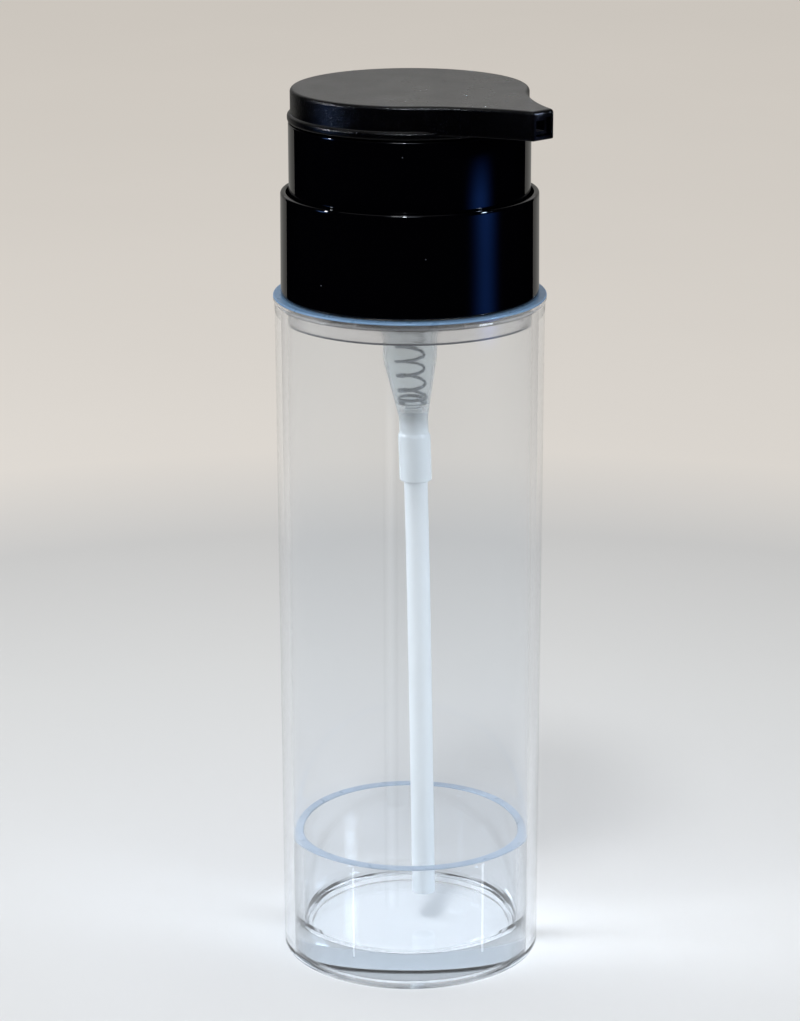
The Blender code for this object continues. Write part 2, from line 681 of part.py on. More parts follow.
def build():
    clear = material("clear_plastic", (0.93, 0.96, 0.98), 0.04, alpha=0.25)
    gloss_black = material("gloss_black_plastic", (0.006, 0.007, 0.009), 0.08)
    satin_black = material("textured_black_plastic", (0.02, 0.02, 0.022), 0.5)
    natural = material("natural_plastic", (0.80, 0.86, 0.90), 0.3, alpha=0.75)
    milky = material("milky_tube_plastic", (0.88, 0.90, 0.96), 0.3, alpha=0.75)
    white = material("white_plastic", (0.85, 0.85, 0.85), 0.35)
    seal = material("seal_rubber", (0.75, 0.76, 0.78), 0.6)
    steel = material("spring_steel", (0.62, 0.63, 0.65), 0.25, metallic=1.0)
    finish(make_bottle_tube(), clear)
    finish(make_base_cup(), clear)
    finish(make_neck_insert(), clear)
    finish(make_collar_shell(), gloss_black)
    finish(make_screw_ring(), satin_black)
    finish(make_closure_gasket(), seal)
    finish(make_pump_housing(), natural)
    finish(make_housing_cap(), white)
    finish(make_dip_tube(), milky)
    finish(make_inlet_ball(), steel)
    finish(make_return_spring(), steel)
    finish(make_piston(), seal)
    finish(make_piston_rod(), white)
    finish(make_stem(), white)
    finish(make_actuator_cap(), satin_black)
    finish(make_actuator_core(), satin_black)
    finish(make_actuator_sleeve(), gloss_black)


build()
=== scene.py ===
"""Looks of the soap pump dispenser: fine surfaces, finishes, floor, lights and camera.

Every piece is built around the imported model's own boxes, in metres, and rides on its body.
"""

import json
import math

import bmesh
import bpy
import numpy as np
from mathutils import Matrix, Vector


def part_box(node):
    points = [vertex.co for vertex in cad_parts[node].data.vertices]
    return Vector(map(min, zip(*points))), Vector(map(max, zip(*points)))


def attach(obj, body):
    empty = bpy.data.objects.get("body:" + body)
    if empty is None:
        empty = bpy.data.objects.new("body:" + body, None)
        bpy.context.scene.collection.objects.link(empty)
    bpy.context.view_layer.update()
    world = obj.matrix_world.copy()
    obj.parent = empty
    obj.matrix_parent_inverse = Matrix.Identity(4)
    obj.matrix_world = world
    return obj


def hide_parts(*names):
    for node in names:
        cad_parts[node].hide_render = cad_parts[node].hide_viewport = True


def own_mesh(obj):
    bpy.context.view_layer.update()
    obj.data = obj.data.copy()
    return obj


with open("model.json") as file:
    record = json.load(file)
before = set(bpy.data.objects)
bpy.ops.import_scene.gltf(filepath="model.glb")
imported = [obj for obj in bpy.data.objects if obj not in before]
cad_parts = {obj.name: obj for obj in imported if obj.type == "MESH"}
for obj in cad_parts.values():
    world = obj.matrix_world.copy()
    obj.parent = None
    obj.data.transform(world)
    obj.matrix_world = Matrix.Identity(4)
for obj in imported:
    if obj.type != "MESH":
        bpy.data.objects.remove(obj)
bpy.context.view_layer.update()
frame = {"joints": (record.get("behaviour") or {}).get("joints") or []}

MM = 0.001
AROUND = 192             # steps around a large turned piece
AROUND_SMALL = 96        # steps around a pump part
CORNER_STEPS = 5         # steps in each rounded corner
MERGE = 1e-7             # points closer than this are one point
BRACE = 0.08 * MM        # how far from a corner a straight wall gets its support point
SHARP_EDGE = math.radians(38.0)
HEAD_SHARP_EDGE = math.radians(30.0)


def low(node):
    """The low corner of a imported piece's box."""
    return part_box(node)[0]


def high(node):
    """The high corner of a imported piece's box."""
    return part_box(node)[1]


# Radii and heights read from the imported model
RIM_R = high("bottle_tube").x
RIM_Z = high("bottle_tube").z
CUP_R = high("base_cup").x
CUP_TOP = high("base_cup").z
NECK_TOP = high("neck_insert").z
SKIRT_Z = low("neck_insert").z
COLLAR_R = high("collar_shell").x
COLLAR_Z = low("collar_shell").z
COLLAR_TOP = high("collar_shell").z
RING_R = high("screw_ring").x
RING_Z = low("screw_ring").z
RING_TOP = high("screw_ring").z
SLEEVE_R = high("actuator_sleeve").x
SLEEVE_Z = low("actuator_sleeve").z
SLEEVE_TOP = high("actuator_sleeve").z
BEAD_R = high("actuator_cap").x
BEAD_Z = low("actuator_cap").z
CAP_TOP = high("actuator_cap").z
SPOUT_Y = low("actuator_cap").y
FLANGE_R = high("pump_housing").x
FLANGE_TOP = high("pump_housing").z
SOCKET_Z = low("pump_housing").z
SPRING_Z = low("return_spring").z
SPRING_TOP = high("return_spring").z
PISTON_Z = low("piston").z
PISTON_TOP = high("piston").z
PISTON_R = high("piston").x
ROD_Z = low("piston_rod").z
ROD_TOP = high("piston_rod").z
ROD_FLANGE_R = high("piston_rod").x
STEM_Z = low("stem").z
STEM_TOP = high("stem").z
STEM_R = high("stem").x
BUSH_Z = low("housing_cap").z
BUSH_TOP = high("housing_cap").z
BUSH_R = high("housing_cap").x
GASKET_Z = low("closure_gasket").z
GASKET_TOP = high("closure_gasket").z
DIP_Z = low("dip_tube").z
DIP_TOP = high("dip_tube").z
BALL_R = (high("inlet_ball").z - low("inlet_ball").z) / 2
BALL_Z = (high("inlet_ball").z + low("inlet_ball").z) / 2
STROKE = next(joint["range_m"][1] for joint in frame["joints"] if joint["name"] == "head_press")

# Walls, steps and roundings that the boxes don't give
TUBE_WALL = 2.5 * MM
RIM_LIP = 0.25 * MM
RIM_H = 0.9 * MM
TUBE_DRAFT = 0.35 * MM
CUP_WALL = 1.75 * MM
CUP_FLOOR = 5.6 * MM
CUP_CORNER = 2.2 * MM
CUP_RECESS = 0.5 * MM
CUP_FOOT_W = 2.2 * MM
CUP_EASE = 0.1 * MM
SKIRT_WALL = 1.5 * MM
SHOULDER_T = 1.6 * MM
NECK_R = 11.0 * MM
NECK_WALL = 1.4 * MM
THREAD_PITCH = 3.175 * MM
THREAD_TURNS = 1.25
THREAD_DEPTH = 0.9 * MM
THREAD_ROOT = 1.5 * MM
THREAD_CREST = 0.7 * MM
THREAD_START = 3.4 * MM
THREAD_DROP = 1.25 * MM
RING_WALL = 1.9 * MM
RING_TOP_T = 1.5 * MM
COLLAR_WALL = 1.15 * MM
COLLAR_DRAFT = 0.15 * MM
WEB_T = 1.6 * MM
SEAT = 0.2 * MM          # gap between pieces that rest on each other
FIT = 0.15 * MM          # gap around a piece that slides or is pressed in
LIP_H = 5.0 * MM
LIP_T = 1.1 * MM
SLEEVE_WALL = 1.2 * MM
BEAD_PROUD = 0.55 * MM
BEAD_DROP = 0.7 * MM
CAP_R = BEAD_R - BEAD_PROUD
CAP_Z = BEAD_Z + BEAD_DROP
BARREL_R = 4.9 * MM
BARREL_WALL = 0.8 * MM
BAND_R = 5.25 * MM
BARREL_LEN = 25.5 * MM
BAND_ABOVE_END = 4.7 * MM
TAPER_LEN = 11.0 * MM
TAPER_WALL = 0.5 * MM
TAPER_END_R = 2.65 * MM
CHAMBER_R = 1.6 * MM
CATCH_DEPTH = 0.25 * MM
BALL_SEAT_UP = 1.8 * MM
BALL_SEAT_R = 1.0 * MM
SOCKET_R = 2.95 * MM
SOCKET_BORE_R = 2.3 * MM
SOCKET_LEN = 8.4 * MM
DIP_R = 2.15 * MM
DIP_WALL = 0.5 * MM
DIP_RINGS = 60
DIP_SIDES = 48
LEAN_START = 114.0 * MM
LEAN_EASE = 8.0 * MM
LEAN_BEND = 0.955 * MM
LEAN_BEND_OVER = 17.9 * MM
LEAN_SLOPE = 0.0145
LEAN_HEADING = math.radians(-42.5)
WIRE_R = 0.3 * MM
SPRING_TURNS = 7
TURN_STEPS = 40
CLOSED_RISE = 0.69 * MM
COIL_R = 2.5 * MM
COIL_Z = SPRING_Z + 1.0 * MM
STEM_WALL = 0.8 * MM
RISER_R = 1.3 * MM
RIB_HALF = 0.3 * MM
PLATE_T = 1.4 * MM
PLATE_TOP = SLEEVE_TOP + FIT
CAP_WALL = 1.4 * MM
CAP_TOP_T = 1.2 * MM
CAP_ROUND = 0.7 * MM
SPOUT_TIP_HALF = 2.45 * MM
SPOUT_FLARE = math.radians(39.0)
SPOUT_FLOOR_T = 0.7 * MM
MOUTH_W = 3.6 * MM
DUCT_WALL = 0.5 * MM

# Camera, as a heading around the object, a distance and small angles
VIEW_HEADING = math.radians(-42.5)
VIEW_DISTANCE = 0.5625
VIEW_HEIGHT = 0.2553
VIEW_PITCH = math.radians(16.873)
VIEW_YAW = math.radians(-0.189)
VIEW_ROLL = math.radians(-0.126)
VIEW_LENS = 113.35
AIM_Z = 0.09
FLOOR_Z = -0.05 * MM


# Shapes


def new_piece(name, mesh):
    """Put a mesh in the scene, at the origin."""
    piece = bpy.data.objects.new(name, mesh)
    bpy.context.scene.collection.objects.link(piece)
    return piece


def shade(mesh, angle=SHARP_EDGE):
    """Shade smooth, but keep the edges sharp where faces turn by more than an angle."""
    mesh.shade_smooth()
    mesh.set_sharp_from_angle(angle=angle)


def close_and_smooth(mesh):
    """Merge seams and poles, face everything outwards and shade smooth."""
    shape = bmesh.new()
    shape.from_mesh(mesh)
    bmesh.ops.remove_doubles(shape, verts=shape.verts, dist=MERGE)
    bmesh.ops.recalc_face_normals(shape, faces=shape.faces)
    shape.to_mesh(mesh)
    shape.free()
    shade(mesh)


def grid_faces(rows, columns, wrap_rows, wrap_columns):
    """Four-sided faces between the points of a grid, which may close round on itself."""
    faces = []
    for row in range(rows if wrap_rows else rows - 1):
        here = row * columns
        there = (row + 1) % rows * columns
        for left in range(columns if wrap_columns else columns - 1):
            right = (left + 1) % columns
            faces.append((here + left, here + right, there + right, there + left))
    return faces


def solid(name, verts, faces):
    """A closed piece from its points and faces."""
    mesh = bpy.data.meshes.new(name)
    mesh.from_pydata(verts, [], faces)
    close_and_smooth(mesh)
    return new_piece(name, mesh)


def braced(points, closed):
    """Add a point near both ends of every long straight, so that its shading stays straight."""
    made = []
    count = len(points)
    for i, here in enumerate(points):
        made.append(here)
        if not closed and i == count - 1:
            break
        along = Vector(points[(i + 1) % count]) - Vector(here)
        if along.length > BRACE * 4:
            made.append(tuple(Vector(here) + along.normalized() * BRACE))
            made.append(tuple(Vector(here) + along.normalized() * (along.length - BRACE)))
    return made


def rounded(outline, closed=True):
    """Round the corners of an outline of (radius, height, rounding) points."""
    points = []
    count = len(outline)
    for i, (radius, height, rounding) in enumerate(outline):
        at = Vector((radius, height))
        at_end = not closed and i in (0, count - 1)
        if rounding == 0 or at_end:
            points.append(tuple(at))
            continue
        before = Vector(outline[i - 1][:2]) - at
        after = Vector(outline[(i + 1) % count][:2]) - at
        reach = min(rounding, 0.48 * before.length, 0.48 * after.length)
        start = at + before.normalized() * reach
        end = at + after.normalized() * reach
        for step in range(CORNER_STEPS + 1):
            t = step / CORNER_STEPS
            points.append(tuple(start * (1 - t) ** 2 + at * 2 * t * (1 - t) + end * t ** 2))
    return braced(points, closed)


def turned(name, outline, around=AROUND, closed=True, shape=None):
    """Turn an outline about Z. shape(radius, height, angle) may change the radius, as for a thread."""
    points = rounded(outline, closed)
    verts = []
    for step in range(around):
        angle = math.tau * step / around
        for radius, height in points:
            r = shape(radius, height, angle) if shape else radius
            verts.append((r * math.cos(angle), r * math.sin(angle), height))
    return solid(name, verts, grid_faces(around, len(points), True, closed))


def boolean(target, cutters, operation="DIFFERENCE"):
    """Cut a piece with others, or join them to it, and use them up."""
    for cutter in cutters:
        step = target.modifiers.new("cut", "BOOLEAN")
        step.operation = operation
        step.solver = "EXACT"
        step.object = cutter
        bake(target)
        bpy.data.objects.remove(cutter, do_unlink=True)
    return target


def bake(piece):
    """Turn a piece and its modifiers into one plain mesh."""
    graph = bpy.context.evaluated_depsgraph_get()
    mesh = bpy.data.meshes.new_from_object(piece.evaluated_get(graph))
    piece.modifiers.clear()
    piece.data = mesh
    return piece


def block(name, corner, other):
    """A plain box between two opposite corners."""
    mesh = bpy.data.meshes.new(name)
    shape = bmesh.new()
    bmesh.ops.create_cube(shape, size=1.0)
    size = Vector(other) - Vector(corner)
    bmesh.ops.scale(shape, vec=size, verts=shape.verts)
    bmesh.ops.translate(shape, vec=(Vector(other) + Vector(corner)) / 2, verts=shape.verts)
    shape.to_mesh(mesh)
    shape.free()
    return new_piece(name, mesh)


def ridge(height, angle, start):
    """How far a thread stands proud, 0 to 1, at a height and angle."""
    flank = (THREAD_ROOT - THREAD_CREST) / 2
    best = 0.0
    for turn in range(2):
        turns = angle / math.tau + turn
        if turns > THREAD_TURNS:
            continue
        ends = min(1.0, turns / 0.05, (THREAD_TURNS - turns) / 0.05)
        away = abs(height - start - THREAD_PITCH * turns)
        proud = (THREAD_ROOT / 2 - away) / flank
        best = max(best, min(1.0, proud) * max(0.0, ends))
    return max(0.0, best)


def stretch(radius, start, end, spacing):
    """Evenly spaced points up or down a straight wall."""
    count = max(2, round(abs(end - start) / spacing))
    return [(radius, start + (end - start) * i / count, 0) for i in range(1, count)]


# Geometry Nodes


def maths(tree, operation, *values, clamp=False):
    """A maths node on sockets or plain numbers."""
    node = tree.nodes.new("ShaderNodeMath")
    node.operation = operation
    node.use_clamp = clamp
    for socket, value in zip(node.inputs, values):
        if isinstance(value, (int, float)):
            socket.default_value = value
        else:
            tree.links.new(value, socket)
    return node.outputs[0]


def socket_id(tree, name):
    """The key under which a modifier keeps one of its node tree's inputs."""
    return next(item.identifier for item in tree.interface.items_tree
                if item.item_type == "SOCKET" and item.in_out == "INPUT" and item.name == name)


def grown(name, tree, settings):
    """Run a node tree on an empty mesh, and keep the result as a plain mesh."""
    piece = new_piece(name, bpy.data.meshes.new(name))
    step = piece.modifiers.new(tree.name, "NODES")
    step.node_group = tree
    for key, value in settings.items():
        step[socket_id(tree, key)] = value
    bake(piece)
    close_and_smooth(piece.data)
    return piece


def coil_tree():
    """A compression spring along Z, with one closed turn at each end."""
    tree = bpy.data.node_groups.new("coil", "GeometryNodeTree")
    face = tree.interface
    face.new_socket("Geometry", in_out="INPUT", socket_type="NodeSocketGeometry")
    for label in ("Turns", "Coil Radius", "Foot", "Closed Rise", "Open Rise", "Wire Radius"):
        face.new_socket(label, in_out="INPUT", socket_type="NodeSocketFloat")
    for label in ("Path Steps", "Wire Sides"):
        face.new_socket(label, in_out="INPUT", socket_type="NodeSocketInt")
    face.new_socket("Material", in_out="INPUT", socket_type="NodeSocketMaterial")
    face.new_socket("Geometry", in_out="OUTPUT", socket_type="NodeSocketGeometry")
    nodes, wire = tree.nodes, tree.links.new
    given = nodes.new("NodeGroupInput").outputs
    line = nodes.new("GeometryNodeCurvePrimitiveLine")
    resample = nodes.new("GeometryNodeResampleCurve")
    wire(line.outputs["Curve"], resample.inputs["Curve"])
    wire(given["Path Steps"], resample.inputs["Count"])
    share = nodes.new("GeometryNodeSplineParameter").outputs["Factor"]
    turns = maths(tree, "MULTIPLY", share, given["Turns"])
    angle = maths(tree, "MULTIPLY", turns, math.tau)
    x = maths(tree, "MULTIPLY", maths(tree, "COSINE", angle), given["Coil Radius"])
    y = maths(tree, "MULTIPLY", maths(tree, "SINE", angle), given["Coil Radius"])
    first = maths(tree, "MULTIPLY", turns, 1.0, clamp=True)
    last_start = maths(tree, "SUBTRACT", given["Turns"], 1.0)
    last = maths(tree, "SUBTRACT", turns, last_start, clamp=True)
    middle = maths(tree, "SUBTRACT", maths(tree, "SUBTRACT", turns, first), last)
    ends = maths(tree, "MULTIPLY", maths(tree, "ADD", first, last), given["Closed Rise"])
    rise = maths(tree, "ADD", ends, maths(tree, "MULTIPLY", middle, given["Open Rise"]))
    z = maths(tree, "ADD", rise, given["Foot"])
    place = nodes.new("ShaderNodeCombineXYZ")
    for output, key in ((x, "X"), (y, "Y"), (z, "Z")):
        wire(output, place.inputs[key])
    put = nodes.new("GeometryNodeSetPosition")
    wire(resample.outputs["Curve"], put.inputs["Geometry"])
    wire(place.outputs["Vector"], put.inputs["Position"])
    section = nodes.new("GeometryNodeCurvePrimitiveCircle")
    wire(given["Wire Sides"], section.inputs["Resolution"])
    wire(given["Wire Radius"], section.inputs["Radius"])
    skin = nodes.new("GeometryNodeCurveToMesh")
    skin.inputs["Fill Caps"].default_value = True
    wire(put.outputs["Geometry"], skin.inputs["Curve"])
    wire(section.outputs["Curve"], skin.inputs["Profile Curve"])
    real = nodes.new("GeometryNodeRealizeInstances")
    wire(skin.outputs["Mesh"], real.inputs["Geometry"])
    paint = nodes.new("GeometryNodeSetMaterial")
    wire(real.outputs["Geometry"], paint.inputs["Geometry"])
    wire(given["Material"], paint.inputs["Material"])
    wire(paint.outputs["Geometry"], nodes.new("NodeGroupOutput").inputs["Geometry"])
    return tree


# Finishes


class Finish:
    """A Principled material with helpers for its pattern nodes, in Object coordinates."""

    def __init__(self, name, **values):
        self.material = bpy.data.materials.new(name)
        self.material.use_nodes = True
        self.nodes = self.material.node_tree.nodes
        self.wire = self.material.node_tree.links.new
        self.shader = self.nodes["Principled BSDF"]
        self.out = self.nodes["Material Output"]
        for key, value in values.items():
            self.shader.inputs[key.replace("_", " ")].default_value = value
        self.place = self.nodes.new("ShaderNodeTexCoord").outputs["Object"]

    def noise(self, scale, detail=3.0, stretch_by=(1.0, 1.0, 1.0), roughness=0.5):
        """Cloudy pattern, 0 to 1. A small number in stretch_by draws it out along that axis."""
        mapping = self.nodes.new("ShaderNodeMapping")
        mapping.inputs["Scale"].default_value = stretch_by
        self.wire(self.place, mapping.inputs["Vector"])
        node = self.nodes.new("ShaderNodeTexNoise")
        node.inputs["Scale"].default_value = scale
        node.inputs["Detail"].default_value = detail
        node.inputs["Roughness"].default_value = roughness
        self.wire(mapping.outputs["Vector"], node.inputs["Vector"])
        return node.outputs["Fac"]

    def ramp(self, value, low_in, high_in, low_out, high_out):
        """Carry a value from one range over to another, and hold it there."""
        node = self.nodes.new("ShaderNodeMapRange")
        for key, number in zip(("From Min", "From Max", "To Min", "To Max"),
                               (low_in, high_in, low_out, high_out)):
            node.inputs[key].default_value = number
        self.wire(value, node.inputs["Value"])
        return node.outputs["Result"]

    def maths(self, operation, a, b):
        return maths(self.material.node_tree, operation, a, b)

    def blend(self, share, colour, other):
        """From one colour to the other as share goes from 0 to 1."""
        node = self.nodes.new("ShaderNodeMix")
        node.data_type = "RGBA"
        node.inputs["A"].default_value = (*colour, 1.0)
        node.inputs["B"].default_value = (*other, 1.0)
        self.wire(share, node.inputs["Factor"])
        return node.outputs["Result"]

    def specks(self, scale, size, share):
        """Sparse round specks: 1 on a speck, 0 elsewhere."""
        node = self.nodes.new("ShaderNodeTexVoronoi")
        node.inputs["Scale"].default_value = scale
        self.wire(self.place, node.inputs["Vector"])
        near = self.ramp(node.outputs["Distance"], 0.0, size, 1.0, 0.0)
        channel = self.nodes.new("ShaderNodeSeparateColor")
        self.wire(node.outputs["Color"], channel.inputs["Color"])
        chosen = self.maths("LESS_THAN", channel.outputs["Red"], share)
        return self.maths("MULTIPLY", near, chosen)

    def bump(self, height, distance, strength=1.0):
        node = self.nodes.new("ShaderNodeBump")
        node.inputs["Strength"].default_value = strength
        node.inputs["Distance"].default_value = distance
        self.wire(height, node.inputs["Height"])
        self.wire(node.outputs["Normal"], self.shader.inputs["Normal"])

    def set(self, key, value):
        self.wire(value, self.shader.inputs[key])


def clear_plastic():
    """Polished clear plastic, with faint draw lines up its walls and a slight blue in its depth."""
    finish = Finish("clear_plastic", IOR=1.49, Transmission_Weight=1.0)
    haze = finish.noise(90.0, 4.0, (1.0, 1.0, 0.25))
    finish.set("Roughness", finish.ramp(haze, 0.35, 0.75, 0.006, 0.018))
    tone = finish.noise(25.0)
    finish.set("Base Color", finish.blend(tone, (0.965, 0.972, 0.98), (0.945, 0.955, 0.968)))
    draw_lines = finish.noise(140.0, 2.0, (1.0, 1.0, 0.04))
    finish.bump(draw_lines, 0.00001, 0.2)
    tint = finish.nodes.new("ShaderNodeVolumeAbsorption")
    tint.inputs["Color"].default_value = (0.45, 0.72, 0.95, 1.0)
    tint.inputs["Density"].default_value = 9.0
    finish.wire(tint.outputs["Volume"], finish.out.inputs["Volume"])
    return finish.material


def turned_clear():
    """Clear plastic with the fine rings of a turned surface."""
    finish = Finish("turned_clear_plastic", IOR=1.49, Transmission_Weight=0.92)
    rings = finish.noise(1500.0, 3.0, (0.02, 0.02, 1.0))
    finish.set("Base Color", finish.blend(rings, (0.7, 0.7, 0.71), (0.94, 0.94, 0.95)))
    finish.set("Roughness", finish.ramp(rings, 0.3, 0.7, 0.04, 0.2))
    finish.bump(rings, 0.00003, 0.5)
    return finish.material


def edge_painted_light(name, colour, other, transmission):
    """Colour for a clear wall's end face that stands in for light: painted light where the wall carries
    light up to its end, painted shade where the end face shows dark.
    """
    finish = Finish(name, IOR=1.49, Transmission_Weight=transmission)
    finish.set("Base Color", finish.blend(finish.noise(260.0, 4.0), colour, other))
    finish.set("Roughness", finish.ramp(finish.noise(500.0), 0.3, 0.7, 0.25, 0.4))
    finish.bump(finish.noise(1200.0, 2.0), 0.00001, 0.2)
    return finish.material


def gloss_black():
    """Polished black plastic with a little dust and faint smears."""
    finish = Finish("gloss_black", IOR=1.5, Specular_IOR_Level=0.15)
    dust = finish.specks(520.0, 0.08, 0.03)
    finish.set("Base Color", finish.blend(dust, (0.0004, 0.0004, 0.0008), (0.16, 0.18, 0.22)))
    smears = finish.noise(60.0, 5.0, (1.0, 1.0, 0.5))
    finish.set("Roughness", finish.ramp(smears, 0.35, 0.7, 0.025, 0.05))
    finish.bump(finish.noise(55.0, 2.0), 0.00004, 0.2)
    return finish.material


def textured_black():
    """Fine-grained black plastic, with a painted sheen: a paler base colour where it faces up stands in for
    the grazing reflection of the bright surround.
    """
    finish = Finish("textured_black", IOR=1.5, Specular_IOR_Level=0.09)
    facing = finish.nodes.new("ShaderNodeSeparateXYZ")
    finish.wire(finish.nodes.new("ShaderNodeNewGeometry").outputs["Normal"], facing.inputs["Vector"])
    # Painted sheen: faces that look up get a paler, mottled base colour in place of the surround's grazing
    # reflection.
    painted_sheen_facing_up = finish.ramp(facing.outputs["Z"], 0.8, 1.0, 0.0, 1.0)
    painted_top_sheen = finish.maths("MULTIPLY", painted_sheen_facing_up, finish.ramp(finish.noise(180.0, 5.0), 0.3, 0.7, 0.75, 1.0))
    finish.set("Base Color", finish.blend(painted_top_sheen, (0.0001, 0.0001, 0.0004), (0.056, 0.056, 0.0555)))
    finish.set("Roughness", finish.ramp(finish.noise(70.0, 4.0), 0.35, 0.7, 0.26, 0.34))
    finish.bump(finish.noise(2600.0, 2.0, roughness=0.6), 0.0001, 0.8)
    return finish.material


def milky_plastic():
    """Milky plastic of a drawn tube, with long faint streaks."""
    finish = Finish("milky_tube", IOR=1.49, Transmission_Weight=0.05)
    streaks = finish.noise(60.0, 3.0, (1.0, 1.0, 0.2))
    finish.set("Base Color", finish.blend(streaks, (0.91, 0.965, 1.0), (0.88, 0.945, 1.0)))
    finish.set("Roughness", finish.ramp(finish.noise(120.0), 0.3, 0.7, 0.2975, 0.42))
    finish.bump(finish.noise(200.0, 1.0, (1.0, 1.0, 0.1)), 0.00001, 0.15)
    return finish.material


def housing_plastic():
    """Natural plastic, clearer in the barrel and milky around the valve and the socket."""
    finish = Finish("natural_plastic", IOR=1.49)
    place = finish.nodes.new("ShaderNodeSeparateXYZ")
    finish.wire(finish.place, place.inputs["Vector"])
    clear = finish.ramp(place.outputs["Z"], SOCKET_Z + 9.0 * MM, SOCKET_Z + 14.0 * MM, 0.0, 1.0)
    cloud = finish.ramp(finish.noise(90.0, 3.0, (1.0, 1.0, 0.3)), 0.3, 0.7, 0.94, 1.0)
    through = finish.ramp(clear, 0.0, 1.0, 0.06, 0.9)
    finish.set("Transmission Weight", finish.maths("MULTIPLY", cloud, through))
    finish.set("Base Color", finish.blend(clear, (0.88, 0.95, 1.0), (0.92, 0.97, 1.0)))
    finish.set("Roughness", finish.ramp(finish.noise(120.0), 0.3, 0.7, 0.08, 0.13))
    finish.bump(finish.noise(200.0, 1.0, (1.0, 1.0, 0.1)), 0.00001, 0.15)
    return finish.material


def opaque_plastic(name, colour, other, roughness):
    """Plain moulded plastic, slightly soft to light."""
    finish = Finish(name, IOR=1.49, Subsurface_Weight=0.15, Subsurface_Scale=0.002)
    finish.set("Base Color", finish.blend(finish.noise(150.0, 4.0), colour, other))
    finish.set("Roughness", finish.ramp(finish.noise(300.0), 0.3, 0.7, roughness * 0.8, roughness * 1.2))
    finish.bump(finish.noise(900.0, 2.0), 0.00002, 0.3)
    return finish.material


def drawn_steel():
    """Dark drawn spring steel."""
    finish = Finish("drawn_steel", Metallic=1.0, IOR=2.5)
    finish.set("Base Color", finish.blend(finish.noise(400.0), (0.16, 0.17, 0.19), (0.26, 0.27, 0.29)))
    finish.set("Roughness", finish.ramp(finish.noise(900.0, 4.0), 0.3, 0.7, 0.22, 0.38))
    finish.bump(finish.noise(3000.0, 2.0), 0.00001, 0.3)
    return finish.material


def tint_edge(piece, material, low_z, high_z, inner_r, outer_r):
    """Give the flat end faces of a ring, between two heights and two radii, a second material that carries
    their painted light and shade.
    """
    piece.data.materials.append(material)
    for face in piece.data.polygons:
        middle = face.center
        reach = math.hypot(middle.x, middle.y)
        if low_z <= middle.z <= high_z and inner_r <= reach <= outer_r:
            face.material_index = 1


def dress(piece, material, body, slot, *nodes):
    """Give a piece its finish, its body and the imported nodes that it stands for."""
    piece.data.materials.clear()
    piece.data.materials.append(material)
    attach(piece, body)
    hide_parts(*nodes)
    return piece


# Bottle


def make_tube():
    """Clear tube wall with a lip at its rim, a little narrower at its foot."""
    bore = RIM_R - TUBE_WALL
    top_r = RIM_R - RIM_LIP
    foot_r = top_r - TUBE_DRAFT
    outline = [(bore, RIM_Z, 0.25 * MM), (RIM_R, RIM_Z, 0.25 * MM), (RIM_R, RIM_Z - RIM_H, 0.2 * MM),
               (top_r, RIM_Z - RIM_H * 1.5, 0.2 * MM), (foot_r, 0.0, 0.7 * MM), (bore, 0.0, 0.1 * MM)]
    return turned("clear_tube", outline)


def make_cup():
    """Clear cup in the foot of the tube, with a thick floor on a narrow foot ring."""
    inner = CUP_R - CUP_WALL
    outer = CUP_R + CUP_EASE
    foot = outer - CUP_FOOT_W
    outline = [(0.0, CUP_FLOOR, 0), (inner, CUP_FLOOR, CUP_CORNER), (inner, CUP_TOP, 0.25 * MM),
               (outer, CUP_TOP, 0.25 * MM), (outer, 0.0, 0.2 * MM), (foot, 0.0, 0.2 * MM),
               (foot - CUP_RECESS, CUP_RECESS, 0.2 * MM), (0.0, CUP_RECESS, 0)]
    return turned("clear_cup", outline, closed=False)


def make_neck():
    """Clear ring in the tube's mouth: a skirt below, a shoulder and the threaded neck."""
    bore = NECK_R - NECK_WALL
    skirt = CUP_R
    skirt_bore = skirt - SKIRT_WALL
    shoulder = RIM_Z - SHOULDER_T
    start = RIM_Z + THREAD_START
    outline = [(bore, NECK_TOP, 0.3 * MM), (NECK_R, NECK_TOP, 0.3 * MM)]
    outline += stretch(NECK_R, NECK_TOP - 0.5 * MM, RIM_Z + 0.5 * MM, 0.15 * MM)
    outline += [(NECK_R, RIM_Z, 0.4 * MM), (skirt, RIM_Z, 0.2 * MM), (skirt, SKIRT_Z, 0.25 * MM),
                (skirt_bore, SKIRT_Z, 0.25 * MM), (skirt_bore, shoulder, 0.8 * MM),
                (bore, shoulder, 0.4 * MM)]

    def threaded(radius, height, angle):
        on_wall = abs(radius - NECK_R) < 0.01 * MM and height > RIM_Z + 0.4 * MM
        return radius + THREAD_DEPTH * ridge(height, angle, start) if on_wall else radius

    return turned("clear_neck", outline, shape=threaded)


# Closure


def make_collar():
    """Glossy outer collar with an inner web and a lip that holds the screw ring."""
    bore = COLLAR_R - COLLAR_WALL
    top_r = COLLAR_R - COLLAR_DRAFT
    lip_bore = RING_R + FIT
    lip = lip_bore + LIP_T
    web = COLLAR_Z + SEAT
    web_top = web + WEB_T
    outline = [(bore, COLLAR_TOP, 0.35 * MM), (top_r, COLLAR_TOP, 1.0 * MM), (COLLAR_R, COLLAR_Z, 0.25 * MM),
               (bore, COLLAR_Z, 0.15 * MM), (bore - SEAT, web, 0.1 * MM), (lip_bore, web, 0.2 * MM),
               (lip_bore, web_top + LIP_H, 0.3 * MM), (lip, web_top + LIP_H, 0.3 * MM),
               (lip, web_top, 0.4 * MM), (bore, web_top, 0.4 * MM)]
    return turned("gloss_collar", outline)


